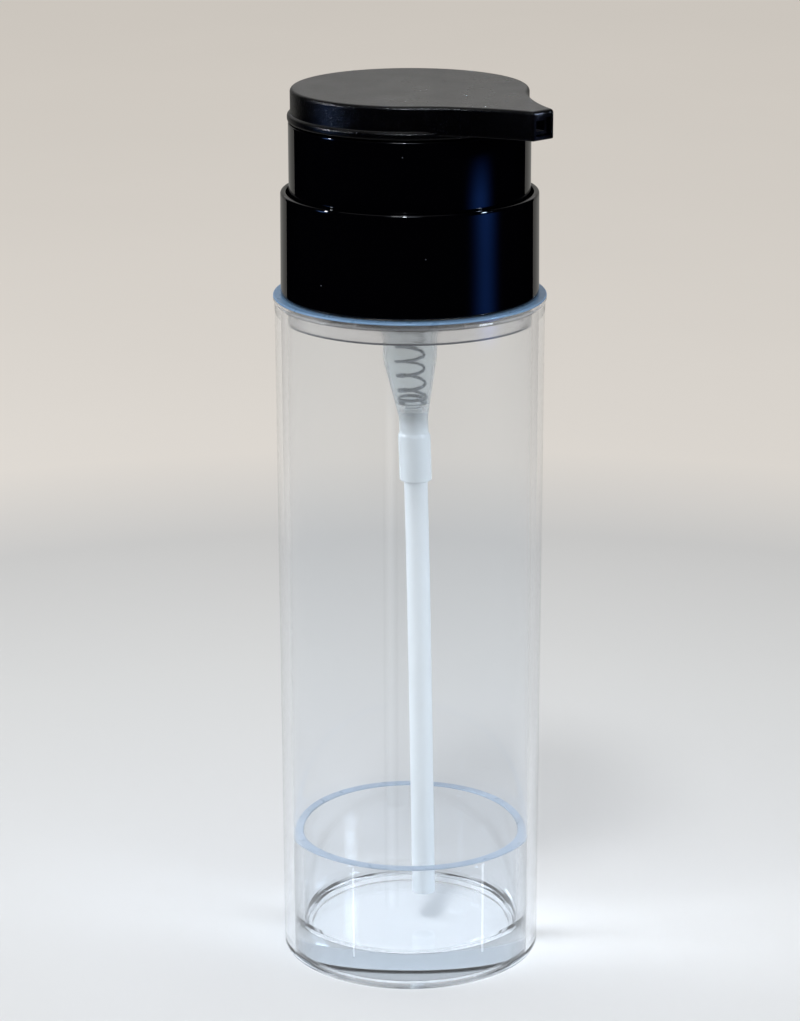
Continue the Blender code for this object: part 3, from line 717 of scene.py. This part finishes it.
def make_screw_ring():
    """Ring with the inner thread, under the collar."""
    bore = RING_R - RING_WALL
    hole = BUSH_R + 1.0 * MM
    start = RIM_Z + THREAD_START - THREAD_DROP
    under_top = RING_TOP - RING_TOP_T
    outline = [(hole, RING_TOP, 0.3 * MM), (RING_R, RING_TOP, 0.5 * MM), (RING_R, RING_Z, 0.3 * MM),
               (bore, RING_Z, 0.3 * MM)]
    outline += stretch(bore, RING_Z + 0.5 * MM, under_top - 0.5 * MM, 0.15 * MM)
    outline += [(bore, under_top, 0.3 * MM), (hole, under_top, 0.3 * MM)]

    def threaded(radius, height, angle):
        on_wall = abs(radius - bore) < 0.01 * MM and RING_Z + 0.4 * MM < height < under_top - 0.4 * MM
        return radius - THREAD_DEPTH * ridge(height, angle, start) if on_wall else radius

    return turned("threaded_ring", outline, shape=threaded)


def make_gasket():
    """Flat soft washer under the pump's flange."""
    hole = BAND_R + FIT
    outline = [(hole, GASKET_TOP, 0.2 * MM), (FLANGE_R, GASKET_TOP, 0.2 * MM),
               (FLANGE_R, GASKET_Z, 0.2 * MM), (hole, GASKET_Z, 0.2 * MM)]
    return turned("soft_gasket", outline, AROUND_SMALL)


# Pump engine


def make_housing():
    """Stepped cylinder: flange, barrel, taper with the spring's seat, ball chamber and tube socket."""
    bore = BARREL_R - BARREL_WALL
    thin = BARREL_WALL - TAPER_WALL
    barrel_end = FLANGE_TOP - BARREL_LEN
    taper_end = barrel_end - TAPER_LEN
    socket_top = SOCKET_Z + SOCKET_LEN
    band = barrel_end + BAND_ABOVE_END
    ball_seat = socket_top + BALL_SEAT_UP
    spring_seat = COIL_Z - SEAT
    catch_r = CHAMBER_R - CATCH_DEPTH
    up_taper = (spring_seat - taper_end) / TAPER_LEN
    seat_bore = TAPER_END_R + (BARREL_R - TAPER_END_R) * up_taper - TAPER_WALL
    flange_z = GASKET_TOP + SEAT
    outline = [(bore, FLANGE_TOP, 0.15 * MM), (FLANGE_R, FLANGE_TOP, 0.3 * MM),
               (FLANGE_R, flange_z, 0.2 * MM), (BAND_R, flange_z, 0.3 * MM),
               (BAND_R, band, 0.15 * MM), (BARREL_R, band, 0.15 * MM),
               (BARREL_R, barrel_end, 1.2 * MM), (TAPER_END_R, taper_end, 0.6 * MM),
               (TAPER_END_R, socket_top + 0.6 * MM, 0.1 * MM), (SOCKET_R, socket_top, 0.2 * MM),
               (SOCKET_R, SOCKET_Z, 0.3 * MM), (SOCKET_BORE_R, SOCKET_Z, 0.2 * MM),
               (SOCKET_BORE_R, socket_top, 0.1 * MM), (BALL_SEAT_R, socket_top, 0.1 * MM),
               (BALL_SEAT_R, ball_seat, 0.1 * MM), (CHAMBER_R, ball_seat + 0.6 * MM, 0.2 * MM),
               (CHAMBER_R, spring_seat - 0.6 * MM, 0.1 * MM), (catch_r, spring_seat - 0.4 * MM, 0.05 * MM),
               (catch_r, spring_seat - 0.1 * MM, 0.05 * MM), (CHAMBER_R, spring_seat, 0.05 * MM),
               (seat_bore, spring_seat, 0.1 * MM), (bore + thin, barrel_end, 0.8 * MM),
               (bore, barrel_end + 3.0 * MM, 0.3 * MM)]
    outline[12:12] = stretch(SOCKET_BORE_R, SOCKET_Z + 0.3 * MM, socket_top - 0.3 * MM, 1.0 * MM)
    outline[10:10] = stretch(SOCKET_R, socket_top - 0.3 * MM, SOCKET_Z + 0.4 * MM, 1.0 * MM)
    return turned("translucent_housing", outline, AROUND_SMALL)


def make_bush():
    """Guide bush in the top of the housing, around the stem."""
    guide = STEM_R + FIT
    spigot = BARREL_R - BARREL_WALL - FIT
    head = FLANGE_TOP + SEAT
    boss = head + 1.2 * MM
    outline = [(guide, BUSH_TOP, 0.2 * MM), (spigot, BUSH_TOP, 0.2 * MM),
               (spigot + 0.4 * MM, boss, 0.2 * MM), (BUSH_R, boss, 0.3 * MM), (BUSH_R, head, 0.2 * MM),
               (spigot, head, 0.1 * MM), (spigot, BUSH_Z, 0.3 * MM), (guide, BUSH_Z, 0.2 * MM)]
    return turned("guide_bush", outline, AROUND_SMALL)


def leaning(height):
    """How far the hanging end of the pump stands aside at a height."""
    drop = max(0.0, LEAN_START - height)
    ease = min(1.0, drop / LEAN_EASE)
    aside = LEAN_BEND * (1.0 - math.exp(-drop / LEAN_BEND_OVER)) + LEAN_SLOPE * drop
    aside *= ease * ease * (3.0 - 2.0 * ease)
    return Vector((aside * math.cos(LEAN_HEADING), aside * math.sin(LEAN_HEADING), 0.0))


def lean(piece):
    """Push a pump piece aside where the pump hangs free."""
    for vert in piece.data.vertices:
        vert.co += leaning(vert.co.z)
    return piece


def make_dip_tube():
    """Thin tube in rings close enough to lean smoothly, down its outside and back up its bore."""
    inner = DIP_R - DIP_WALL
    heights = [DIP_TOP + (DIP_Z - DIP_TOP) * i / DIP_RINGS for i in range(DIP_RINGS + 1)]
    path = [(height, DIP_R) for height in heights] + [(height, inner) for height in reversed(heights)]
    verts = []
    for height, radius in path:
        for side in range(DIP_SIDES):
            angle = math.tau * side / DIP_SIDES
            verts.append((radius * math.cos(angle), radius * math.sin(angle), height))
    return solid("milky_dip_tube", verts, grid_faces(len(path), DIP_SIDES, True, True))


def make_spring(material):
    """Return spring, from its seat in the taper up to the piston rod."""
    foot = COIL_Z + WIRE_R
    open_rise = (SPRING_TOP - WIRE_R - foot - 2 * CLOSED_RISE) / (SPRING_TURNS - 2)
    return grown("coil_spring", coil_tree(), {
        "Turns": float(SPRING_TURNS), "Coil Radius": COIL_R, "Foot": foot, "Closed Rise": CLOSED_RISE,
        "Open Rise": open_rise, "Wire Radius": WIRE_R, "Path Steps": SPRING_TURNS * TURN_STEPS + 1,
        "Wire Sides": 16, "Material": material})


def make_piston():
    """Soft piston with a sealing lip at each end, hung in the stem's foot."""
    shelf_r = STEM_R + SEAT
    shelf = PISTON_Z + 3.5 * MM
    waist = (PISTON_R + shelf_r) / 2
    bore = 1.3 * MM
    outline = [(shelf_r, PISTON_TOP, 0.1 * MM), (PISTON_R, PISTON_TOP, 0.15 * MM),
               (waist, PISTON_TOP - 1.0 * MM, 0.4 * MM), (waist, PISTON_Z + 1.0 * MM, 0.4 * MM),
               (PISTON_R, PISTON_Z, 0.15 * MM), (bore, PISTON_Z, 0.2 * MM), (bore, shelf, 0.1 * MM),
               (shelf_r, shelf, 0.1 * MM)]
    return turned("soft_piston", outline, AROUND_SMALL)


def make_rod():
    """Plug rod with a flange at its foot and four ribs that grip the stem's bore."""
    shaft = 1.0 * MM
    flange_top = ROD_Z + 1.2 * MM
    outline = [(0.0, ROD_TOP, 0), (shaft, ROD_TOP, 0.3 * MM), (shaft, flange_top, 0.3 * MM),
               (ROD_FLANGE_R, flange_top, 0.2 * MM), (ROD_FLANGE_R, ROD_Z, 0.2 * MM), (0.0, ROD_Z, 0)]
    rod = turned("plunger_rod", outline, AROUND_SMALL, closed=False)
    reach = STEM_R - STEM_WALL - FIT
    foot = STEM_Z + SEAT
    top = ROD_TOP - SEAT
    ribs = [block("rib_x", (-reach, -RIB_HALF, foot), (reach, RIB_HALF, top)),
            block("rib_y", (-RIB_HALF, -reach, foot), (RIB_HALF, reach, top))]
    boolean(rod, ribs, "UNION")
    shade(rod.data)
    return rod


def make_stem():
    """Hollow stem that carries the head."""
    bore = STEM_R - STEM_WALL
    outline = [(bore, STEM_TOP, 0.15 * MM), (STEM_R, STEM_TOP, 0.3 * MM), (STEM_R, STEM_Z, 0.2 * MM),
               (bore, STEM_Z, 0.2 * MM)]
    return turned("pump_stem", outline, AROUND_SMALL)


def make_ball():
    """Check-valve ball, from pole to pole."""
    half_steps = 24
    outline = []
    for i in range(half_steps + 1):
        angle = math.pi * i / half_steps
        outline.append((BALL_R * math.sin(angle), BALL_Z + BALL_R * math.cos(angle), 0))
    outline[0] = (0.0, BALL_Z + BALL_R, 0)
    outline[-1] = (0.0, BALL_Z - BALL_R, 0)
    return turned("valve_ball", outline, 48, closed=False)


# Head


def spout_side(count):
    """One side of the spout from the cap's circle to its tip, as a smooth curve."""
    tip_y = -SPOUT_Y
    start = Vector((CAP_R * math.sin(SPOUT_FLARE), CAP_R * math.cos(SPOUT_FLARE)))
    tip = Vector((SPOUT_TIP_HALF, tip_y))
    leave = Vector((-math.cos(SPOUT_FLARE), math.sin(SPOUT_FLARE)))
    arrive = Vector((-0.3, 1.0)).normalized()
    reach = (tip_y - start.y) / 3
    near = start + leave * reach
    far = tip - arrive * reach
    points = []
    for i in range(count + 1):
        t = i / count
        points.append(start * (1 - t) ** 3 + near * 3 * t * (1 - t) ** 2
                      + far * 3 * t ** 2 * (1 - t) + tip * t ** 3)
    return points


def teardrop():
    """The cap's outline, counter-clockwise from above, with the spout along -Y."""
    side = spout_side(24)
    corner = 0.35 * MM
    tip = side[-1]
    side[-1] = tip - Vector((-0.3, 1.0)).normalized() * corner
    end = [Vector((tip.x - corner * 0.3, tip.y - corner * 0.3)), Vector((tip.x - corner, tip.y))]
    left = [(-point.x, -point.y) for point in side + end]
    right = [(point.x, -point.y) for point in reversed(side + end)]
    sweep = math.tau - 2 * SPOUT_FLARE
    steps = 150
    around = []
    for i in range(1, steps):
        angle = -math.pi / 2 + SPOUT_FLARE + sweep * i / steps
        around.append((CAP_R * math.cos(angle), CAP_R * math.sin(angle)))
    return left + right + around


def inset(outline, distance):
    """Move a closed outline inwards by a distance."""
    points = np.array(outline)
    ahead = np.roll(points, -1, axis=0) - points
    behind = points - np.roll(points, 1, axis=0)
    along = ahead / np.linalg.norm(ahead, axis=1)[:, None] + behind / np.linalg.norm(behind, axis=1)[:, None]
    along /= np.linalg.norm(along, axis=1)[:, None]
    inward = np.stack([-along[:, 1], along[:, 0]], axis=1)
    return points + inward * distance


def make_cap():
    """Textured top with its spout, hollow under a skin, and the seam bead around its foot."""
    outline = teardrop()
    foot_round = 0.25 * MM
    steps = 8
    layers = []
    for i in range(3):
        angle = math.pi / 2 * i / 2
        layers.append((foot_round * (1 - math.sin(angle)), CAP_Z + foot_round * (1 - math.cos(angle))))
    wall_top = CAP_TOP - CAP_ROUND
    layers += [(0.0, CAP_Z + foot_round + BRACE), (0.0, wall_top - BRACE)]
    for i in range(steps + 1):
        angle = math.pi / 2 * i / steps
        layers.append((CAP_ROUND * (1 - math.cos(angle)), wall_top + CAP_ROUND * math.sin(angle)))
    layers.append((CAP_ROUND + BRACE, CAP_TOP))
    verts = []
    for distance, height in layers:
        verts += [(x, y, height) for x, y in inset(outline, distance)]
    count = len(outline)
    faces = grid_faces(len(layers), count, False, True)
    faces.append(tuple(reversed(range(count))))
    faces.append(tuple(range((len(layers) - 1) * count, len(layers) * count)))
    cap = solid("textured_cap", verts, faces)
    skin = CAP_TOP - CAP_TOP_T
    hollow_r = CAP_R - CAP_WALL
    below = BEAD_Z - 1.0 * MM
    bead_top = BEAD_Z + 1.75 * MM
    hollow = turned("cap_hollow", [(0.0, skin, 0), (hollow_r, skin, 0.4 * MM), (hollow_r, below, 0),
                                   (0.0, below, 0)], closed=False)
    bead = turned("cap_bead", [(0.0, bead_top, 0), (CAP_R - 0.6 * MM, bead_top, 0),
                               (CAP_R, BEAD_Z + 1.5 * MM, 0.15 * MM), (BEAD_R, BEAD_Z + 1.15 * MM, 0.6 * MM),
                               (BEAD_R, BEAD_Z, 0.45 * MM), (0.0, BEAD_Z, 0)], closed=False)
    mouth = block("cap_mouth", (-MOUTH_W / 2, SPOUT_Y * 1.5, CAP_Z + SPOUT_FLOOR_T),
                  (MOUTH_W / 2, 0.0, skin))
    boolean(cap, [bead], "UNION")
    boolean(cap, [hollow, mouth])
    shade(cap.data, HEAD_SHARP_EDGE)
    return cap


def make_core():
    """Plate with the stem's socket, the web and the duct out to the spout's mouth."""
    plate_r = high("actuator_core").x
    plate = PLATE_TOP - PLATE_T
    rim = CAP_R - CAP_WALL - FIT
    rim_bore = rim - 1.2 * MM
    rim_top = PLATE_TOP + 1.0 * MM
    socket_r = STEM_R + FIT
    socket_top = STEM_TOP + FIT
    boss = socket_r + 1.75 * MM
    foot = low("actuator_core").z
    outline = [(0.0, PLATE_TOP, 0), (rim_bore, PLATE_TOP, 0.2 * MM), (rim_bore, rim_top, 0.2 * MM),
               (rim, rim_top, 0.2 * MM), (rim, PLATE_TOP, 0.1 * MM), (plate_r, PLATE_TOP, 0.2 * MM),
               (plate_r, plate, 0.2 * MM), (boss, plate, 0.5 * MM), (boss, foot, 0.3 * MM), (0.0, foot, 0)]
    core = turned("spout_core", outline, closed=False)
    half = MOUTH_W / 2 - SEAT
    duct_z = CAP_Z + SPOUT_FLOOR_T + SEAT
    duct_top = CAP_TOP - CAP_TOP_T - SEAT
    end_y = low("actuator_core").y
    web = block("duct_web", (-half, -rim_bore - 0.6 * MM, PLATE_TOP - PLATE_T / 2),
                (half, boss - 0.9 * MM, duct_top))
    duct = block("duct", (-half, end_y, duct_z), (half, 0.0, duct_top))
    boolean(core, [web, duct], "UNION")
    way = half - DUCT_WALL
    passage = block("passage", (-way, end_y * 1.5, duct_z + DUCT_WALL), (way, way, duct_top - DUCT_WALL))
    riser_top = duct_z + DUCT_WALL * 2
    riser_foot = STEM_TOP - SEAT
    riser = turned("riser", [(0.0, riser_top, 0), (RISER_R, riser_top, 0), (RISER_R, riser_foot, 0),
                             (0.0, riser_foot, 0)], 48, closed=False)
    socket = turned("socket", [(0.0, socket_top, 0), (socket_r, socket_top, 0),
                               (socket_r, foot - STROKE, 0), (0.0, foot - STROKE, 0)], 64, closed=False)
    boolean(core, [passage, riser, socket])
    shade(core.data, HEAD_SHARP_EDGE)
    return core


def make_sleeve():
    """Glossy skirt of the head, with the ledge that carries the core's plate."""
    bore = SLEEVE_R - SLEEVE_WALL
    ledge_top = PLATE_TOP - PLATE_T - SEAT
    ledge = bore - 1.4 * MM
    outline = [(bore, SLEEVE_TOP, 0.15 * MM), (SLEEVE_R, SLEEVE_TOP, 0.25 * MM),
               (SLEEVE_R, SLEEVE_Z, 0.3 * MM), (bore, SLEEVE_Z, 0.2 * MM),
               (bore, ledge_top - 2.6 * MM, 0.3 * MM), (ledge, ledge_top - 1.2 * MM, 0.2 * MM),
               (ledge, ledge_top, 0.2 * MM), (bore, ledge_top, 0.1 * MM)]
    return turned("gloss_sleeve", outline)


# The set


def make_floor():
    """Plain pale floor with painted light: its colour dims from the bottle out to about 0.26 m and brightens
    again beyond, standing in for how the light falls off across it.
    """
    half = 4.0
    mesh = bpy.data.meshes.new("floor")
    corners = [(-half, -half), (half, -half), (half, half), (-half, half)]
    mesh.from_pydata([(x, y, FLOOR_Z) for x, y in corners], [], [(0, 1, 2, 3)])
    floor = new_piece("floor", mesh)
    finish = Finish("pale_floor", Roughness=0.6, Specular_IOR_Level=0.0)
    away = finish.nodes.new("ShaderNodeVectorMath")
    away.operation = "LENGTH"
    finish.wire(finish.place, away.inputs[0])
    painted_falloff_ramp = finish.nodes.new("ShaderNodeValToRGB")
    finish.wire(finish.ramp(away.outputs["Value"], 0.0, 1.0, 0.0, 1.0), painted_falloff_ramp.inputs["Fac"])
    # Painted light falloff: floor colour by distance from the bottle, darker out to 0.26 m and paler and
    # warmer beyond, in place of uneven lighting.
    painted_falloff_stops = [(0.06, (0.730, 0.742, 0.757)), (0.16, (0.672, 0.677, 0.675)), (0.26, (0.592, 0.588, 0.580)),
             (0.34, (0.76, 0.72, 0.67)), (1.0, (0.82, 0.775, 0.715))]
    while len(painted_falloff_ramp.color_ramp.elements) < len(painted_falloff_stops):
        painted_falloff_ramp.color_ramp.elements.new(0.5)
    for element, (position, colour) in zip(painted_falloff_ramp.color_ramp.elements, painted_falloff_stops):
        element.position = position
        element.color = (*colour, 1.0)
    tone = finish.blend(finish.noise(9.0, 6.0), (0.97, 0.97, 0.97), (1.0, 1.0, 1.0))
    mix = finish.nodes.new("ShaderNodeMix")
    mix.data_type = "RGBA"
    mix.blend_type = "MULTIPLY"
    mix.inputs["Factor"].default_value = 1.0
    finish.wire(painted_falloff_ramp.outputs["Color"], mix.inputs["A"])
    finish.wire(tone, mix.inputs["B"])
    finish.set("Base Color", mix.outputs["Result"])
    finish.bump(finish.noise(300.0, 4.0), 0.0001, 0.1)
    mesh.materials.append(finish.material)


def around_view(turn, rise, distance):
    """A place given by its angle to the right of the camera's side, its rise and its distance."""
    angle = VIEW_HEADING - math.pi / 2 + turn
    flat = distance * math.cos(rise)
    return Vector((flat * math.cos(angle), flat * math.sin(angle), AIM_Z + distance * math.sin(rise)))


def add_light(name, turn, rise, distance, width, height, power, colour):
    """A soft rectangular light that faces the bottle."""
    data = bpy.data.lights.new(name, "AREA")
    data.shape = "RECTANGLE"
    data.size = width
    data.size_y = height
    data.energy = power
    data.color = colour
    light = bpy.data.objects.new(name, data)
    place = around_view(math.radians(turn), math.radians(rise), distance)
    light.location = place
    light.rotation_euler = (Vector((0.0, 0.0, AIM_Z)) - place).to_track_quat("-Z", "Y").to_euler()
    bpy.context.scene.collection.objects.link(light)


def add_card(name, turns, radius, rows, colour, soft=0):
    """A curved upright card that only reflections see.

    rows are (height, strength) from its foot up, and soft is how much it fades towards its sides.
    """
    steps = 48
    start, end = (math.radians(turn) for turn in turns)
    verts = []
    strengths = []
    for i in range(steps + 1):
        angle = VIEW_HEADING - math.pi / 2 + start + (end - start) * i / steps
        across = max(0.0, math.sin(math.pi * i / steps)) ** soft
        for height, strength in rows:
            verts.append((radius * math.cos(angle), radius * math.sin(angle), height))
            strengths.append(strength * across)
    mesh = bpy.data.meshes.new(name)
    mesh.from_pydata(verts, [], grid_faces(steps + 1, len(rows), False, False))
    mesh.attributes.new("glow", "FLOAT", "POINT").data.foreach_set("value", strengths)
    card = new_piece(name, mesh)
    material = bpy.data.materials.new(name)
    material.use_nodes = True
    material.cycles.emission_sampling = "NONE"
    nodes, wire = material.node_tree.nodes, material.node_tree.links.new
    nodes.clear()
    glow = nodes.new("ShaderNodeAttribute")
    glow.attribute_name = "glow"
    shine = nodes.new("ShaderNodeEmission")
    shine.inputs["Color"].default_value = (*colour, 1.0)
    wire(glow.outputs["Fac"], shine.inputs["Strength"])
    wire(shine.outputs["Emission"], nodes.new("ShaderNodeOutputMaterial").inputs["Surface"])
    mesh.materials.append(material)
    for sight in ("camera", "diffuse", "transmission", "volume_scatter", "shadow"):
        setattr(card, "visible_" + sight, False)


def make_lights():
    """Three soft lights, the cards that the glossy walls mirror, and an even grey surround."""
    white = (1.0, 1.0, 1.0)
    add_light("key", -16.0, 63.0, 1.0, 0.14, 0.14, 2.5, white)
    add_light("left", -87.0, 29.0, 0.8, 0.16, 0.2, 1.9, (0.88, 0.94, 1.0))
    add_light("right", 71.0, 21.0, 0.8, 0.2, 0.3, 1.3, (0.8, 0.9, 1.0))
    add_card("front_flag", (-136.0, 136.0), 0.2,
             [(0.0, 0.7), (0.03, 0.5), (0.076, 0.0), (0.45, 0.0)], white)
    add_card("back_flag", (136.5, 223.5), 0.2, [(0.076, 0.35), (0.2, 0.35)], (1.0, 0.98, 0.92))
    add_card("left_card", (-86.0, -70.0), 0.19,
             [(0.1265, 0.0), (0.13, 1.0), (0.15, 1.0)], (4.0, 8.0, 20.0), 2)
    add_card("left_spark", (-79.0, -76.0), 0.185, [(0.2, 1.0), (0.22, 1.0)], (700.0, 740.0, 800.0))
    add_card("top_card", (-26.0, 16.0), 0.19, [(0.28, 1.0), (0.32, 1.0)], (30.0, 33.0, 38.0), 2)
    add_card("top_spark", (-6.5, -3.5), 0.185, [(0.28, 1.0), (0.31, 1.0)], (600.0, 640.0, 700.0))
    add_card("right_spark", (65.0, 69.0), 0.185, [(0.2, 1.0), (0.22, 1.0)], (500.0, 600.0, 800.0))
    add_card("blue_card", (38.0, 94.0), 0.19,
             [(0.076, 0.0), (0.082, 0.8), (0.1, 0.8), (0.112, 1.0), (0.122, 0.0)], (0.2, 0.75, 3.4), 7)
    add_card("strip_card", (-18.5, -8.5), 0.06,
             [(0.0, 1.0), (0.098, 1.0), (0.112, 0.0)], (1.3, 1.35, 1.4), 2)
    for name, turns in (("left_streak", (-36.0, -33.6)), ("right_streak", (43.5, 46.8))):
        add_card(name, turns, 0.035, [(0.0, 1.0), (0.018, 1.0)], (5.0, 5.3, 5.6), 2)
    world = bpy.data.worlds.new("studio")
    world.use_nodes = True
    ground = world.node_tree.nodes["Background"]
    ground.inputs["Color"].default_value = (0.70, 0.69, 0.68, 1.0)
    ground.inputs["Strength"].default_value = 1.0
    bpy.context.scene.world = world


def make_camera():
    """Camera on its heading around the bottle, looking slightly down."""
    data = bpy.data.cameras.new("camera")
    data.sensor_width = 36.0
    data.lens = VIEW_LENS
    camera = bpy.data.objects.new("camera", data)
    turn = Matrix.Rotation(VIEW_HEADING - VIEW_YAW, 4, "Z")
    tip = Matrix.Rotation(math.pi / 2 - VIEW_PITCH, 4, "X")
    roll = Matrix.Rotation(VIEW_ROLL, 4, "Z")
    away = Matrix.Rotation(VIEW_HEADING, 4, "Z") @ Vector((0.0, -VIEW_DISTANCE, VIEW_HEIGHT))
    camera.matrix_world = Matrix.Translation(away) @ turn @ tip @ roll
    bpy.context.scene.collection.objects.link(camera)
    bpy.context.scene.camera = camera


def set_scene():
    """Camera, lights and floor, and how light is carried through the clear pieces."""
    scene = bpy.context.scene
    make_camera()
    make_lights()
    make_floor()
    scene.view_settings.view_transform = "Standard"
    scene.cycles.max_bounces = 24
    scene.cycles.transmission_bounces = 24
    scene.cycles.caustics_reflective = False


def build_bottle():
    """Tube, base cup and neck. They cast no shadow, because light passes through them."""
    clear = clear_plastic()
    frosted = turned_clear()
    # The rim's and the lip's end faces get painted light: a bluish colour for the light that the clear wall
    # carries up to its end.
    rim_painted_light = edge_painted_light("clear_plastic_rim", (0.15, 0.28, 0.47), (0.19, 0.33, 0.52), 0.1)
    lip_painted_light = edge_painted_light("clear_plastic_lip", (0.26, 0.34, 0.46), (0.42, 0.5, 0.6), 0.0)
    # The skirt's end face gets painted shade: a dark grey line where the clear end face shows dark.
    skirt_painted_shade = edge_painted_light("clear_plastic_skirt", (0.10, 0.11, 0.13), (0.16, 0.17, 0.19), 0.0)
    tube = dress(make_tube(), clear, "bottle", "clear_plastic", "bottle_tube")
    tint_edge(tube, rim_painted_light, RIM_Z - 0.3 * MM, RIM_Z, RIM_R - TUBE_WALL, RIM_R)
    cup = dress(make_cup(), clear, "bottle", "clear_plastic", "base_cup")
    tint_edge(cup, lip_painted_light, CUP_TOP - 0.25 * MM, CUP_TOP, CUP_R - CUP_WALL, CUP_R + CUP_EASE)
    neck = dress(make_neck(), frosted, "bottle", "clear_plastic", "neck_insert")
    tint_edge(neck, skirt_painted_shade, SKIRT_Z, SKIRT_Z + 0.15 * MM, CUP_R - SKIRT_WALL, CUP_R)
    for piece in (tube, cup, neck):
        piece.visible_shadow = False


def build_pump():
    """Closure, pump and head, from the collar down to the dip tube and up to the cap."""
    black = gloss_black()
    grain = textured_black()
    natural = housing_plastic()
    milky = milky_plastic()
    white = opaque_plastic("white_plastic", (0.78, 0.79, 0.8), (0.7, 0.71, 0.73), 0.35)
    seal = opaque_plastic("seal", (0.66, 0.68, 0.7), (0.6, 0.62, 0.64), 0.55)
    steel = drawn_steel()
    dress(make_collar(), black, "closure", "gloss_black", "collar_shell")
    dress(make_screw_ring(), grain, "closure", "satin_black", "screw_ring")
    dress(make_gasket(), seal, "pump_body", "seal", "closure_gasket")
    dress(lean(make_housing()), natural, "pump_body", "natural_plastic", "pump_housing")
    dress(make_bush(), white, "pump_body", "white_plastic", "housing_cap")
    dress(lean(make_dip_tube()), milky, "pump_body", "milky_tube", "dip_tube")
    spring = dress(lean(make_spring(steel)), steel, "pump_body", "steel", "return_spring")
    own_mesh(spring)
    dress(make_piston(), seal, "piston", "seal", "piston")
    dress(make_rod(), white, "plunger", "white_plastic", "piston_rod")
    dress(make_stem(), white, "plunger", "white_plastic", "stem")
    dress(lean(make_ball()), steel, "inlet_ball", "steel", "inlet_ball")
    dress(make_cap(), grain, "head", "satin_black", "actuator_cap")
    dress(make_core(), grain, "head", "satin_black", "actuator_core")
    dress(make_sleeve(), black, "head", "gloss_black", "actuator_sleeve")


set_scene()
build_bottle()
build_pump()
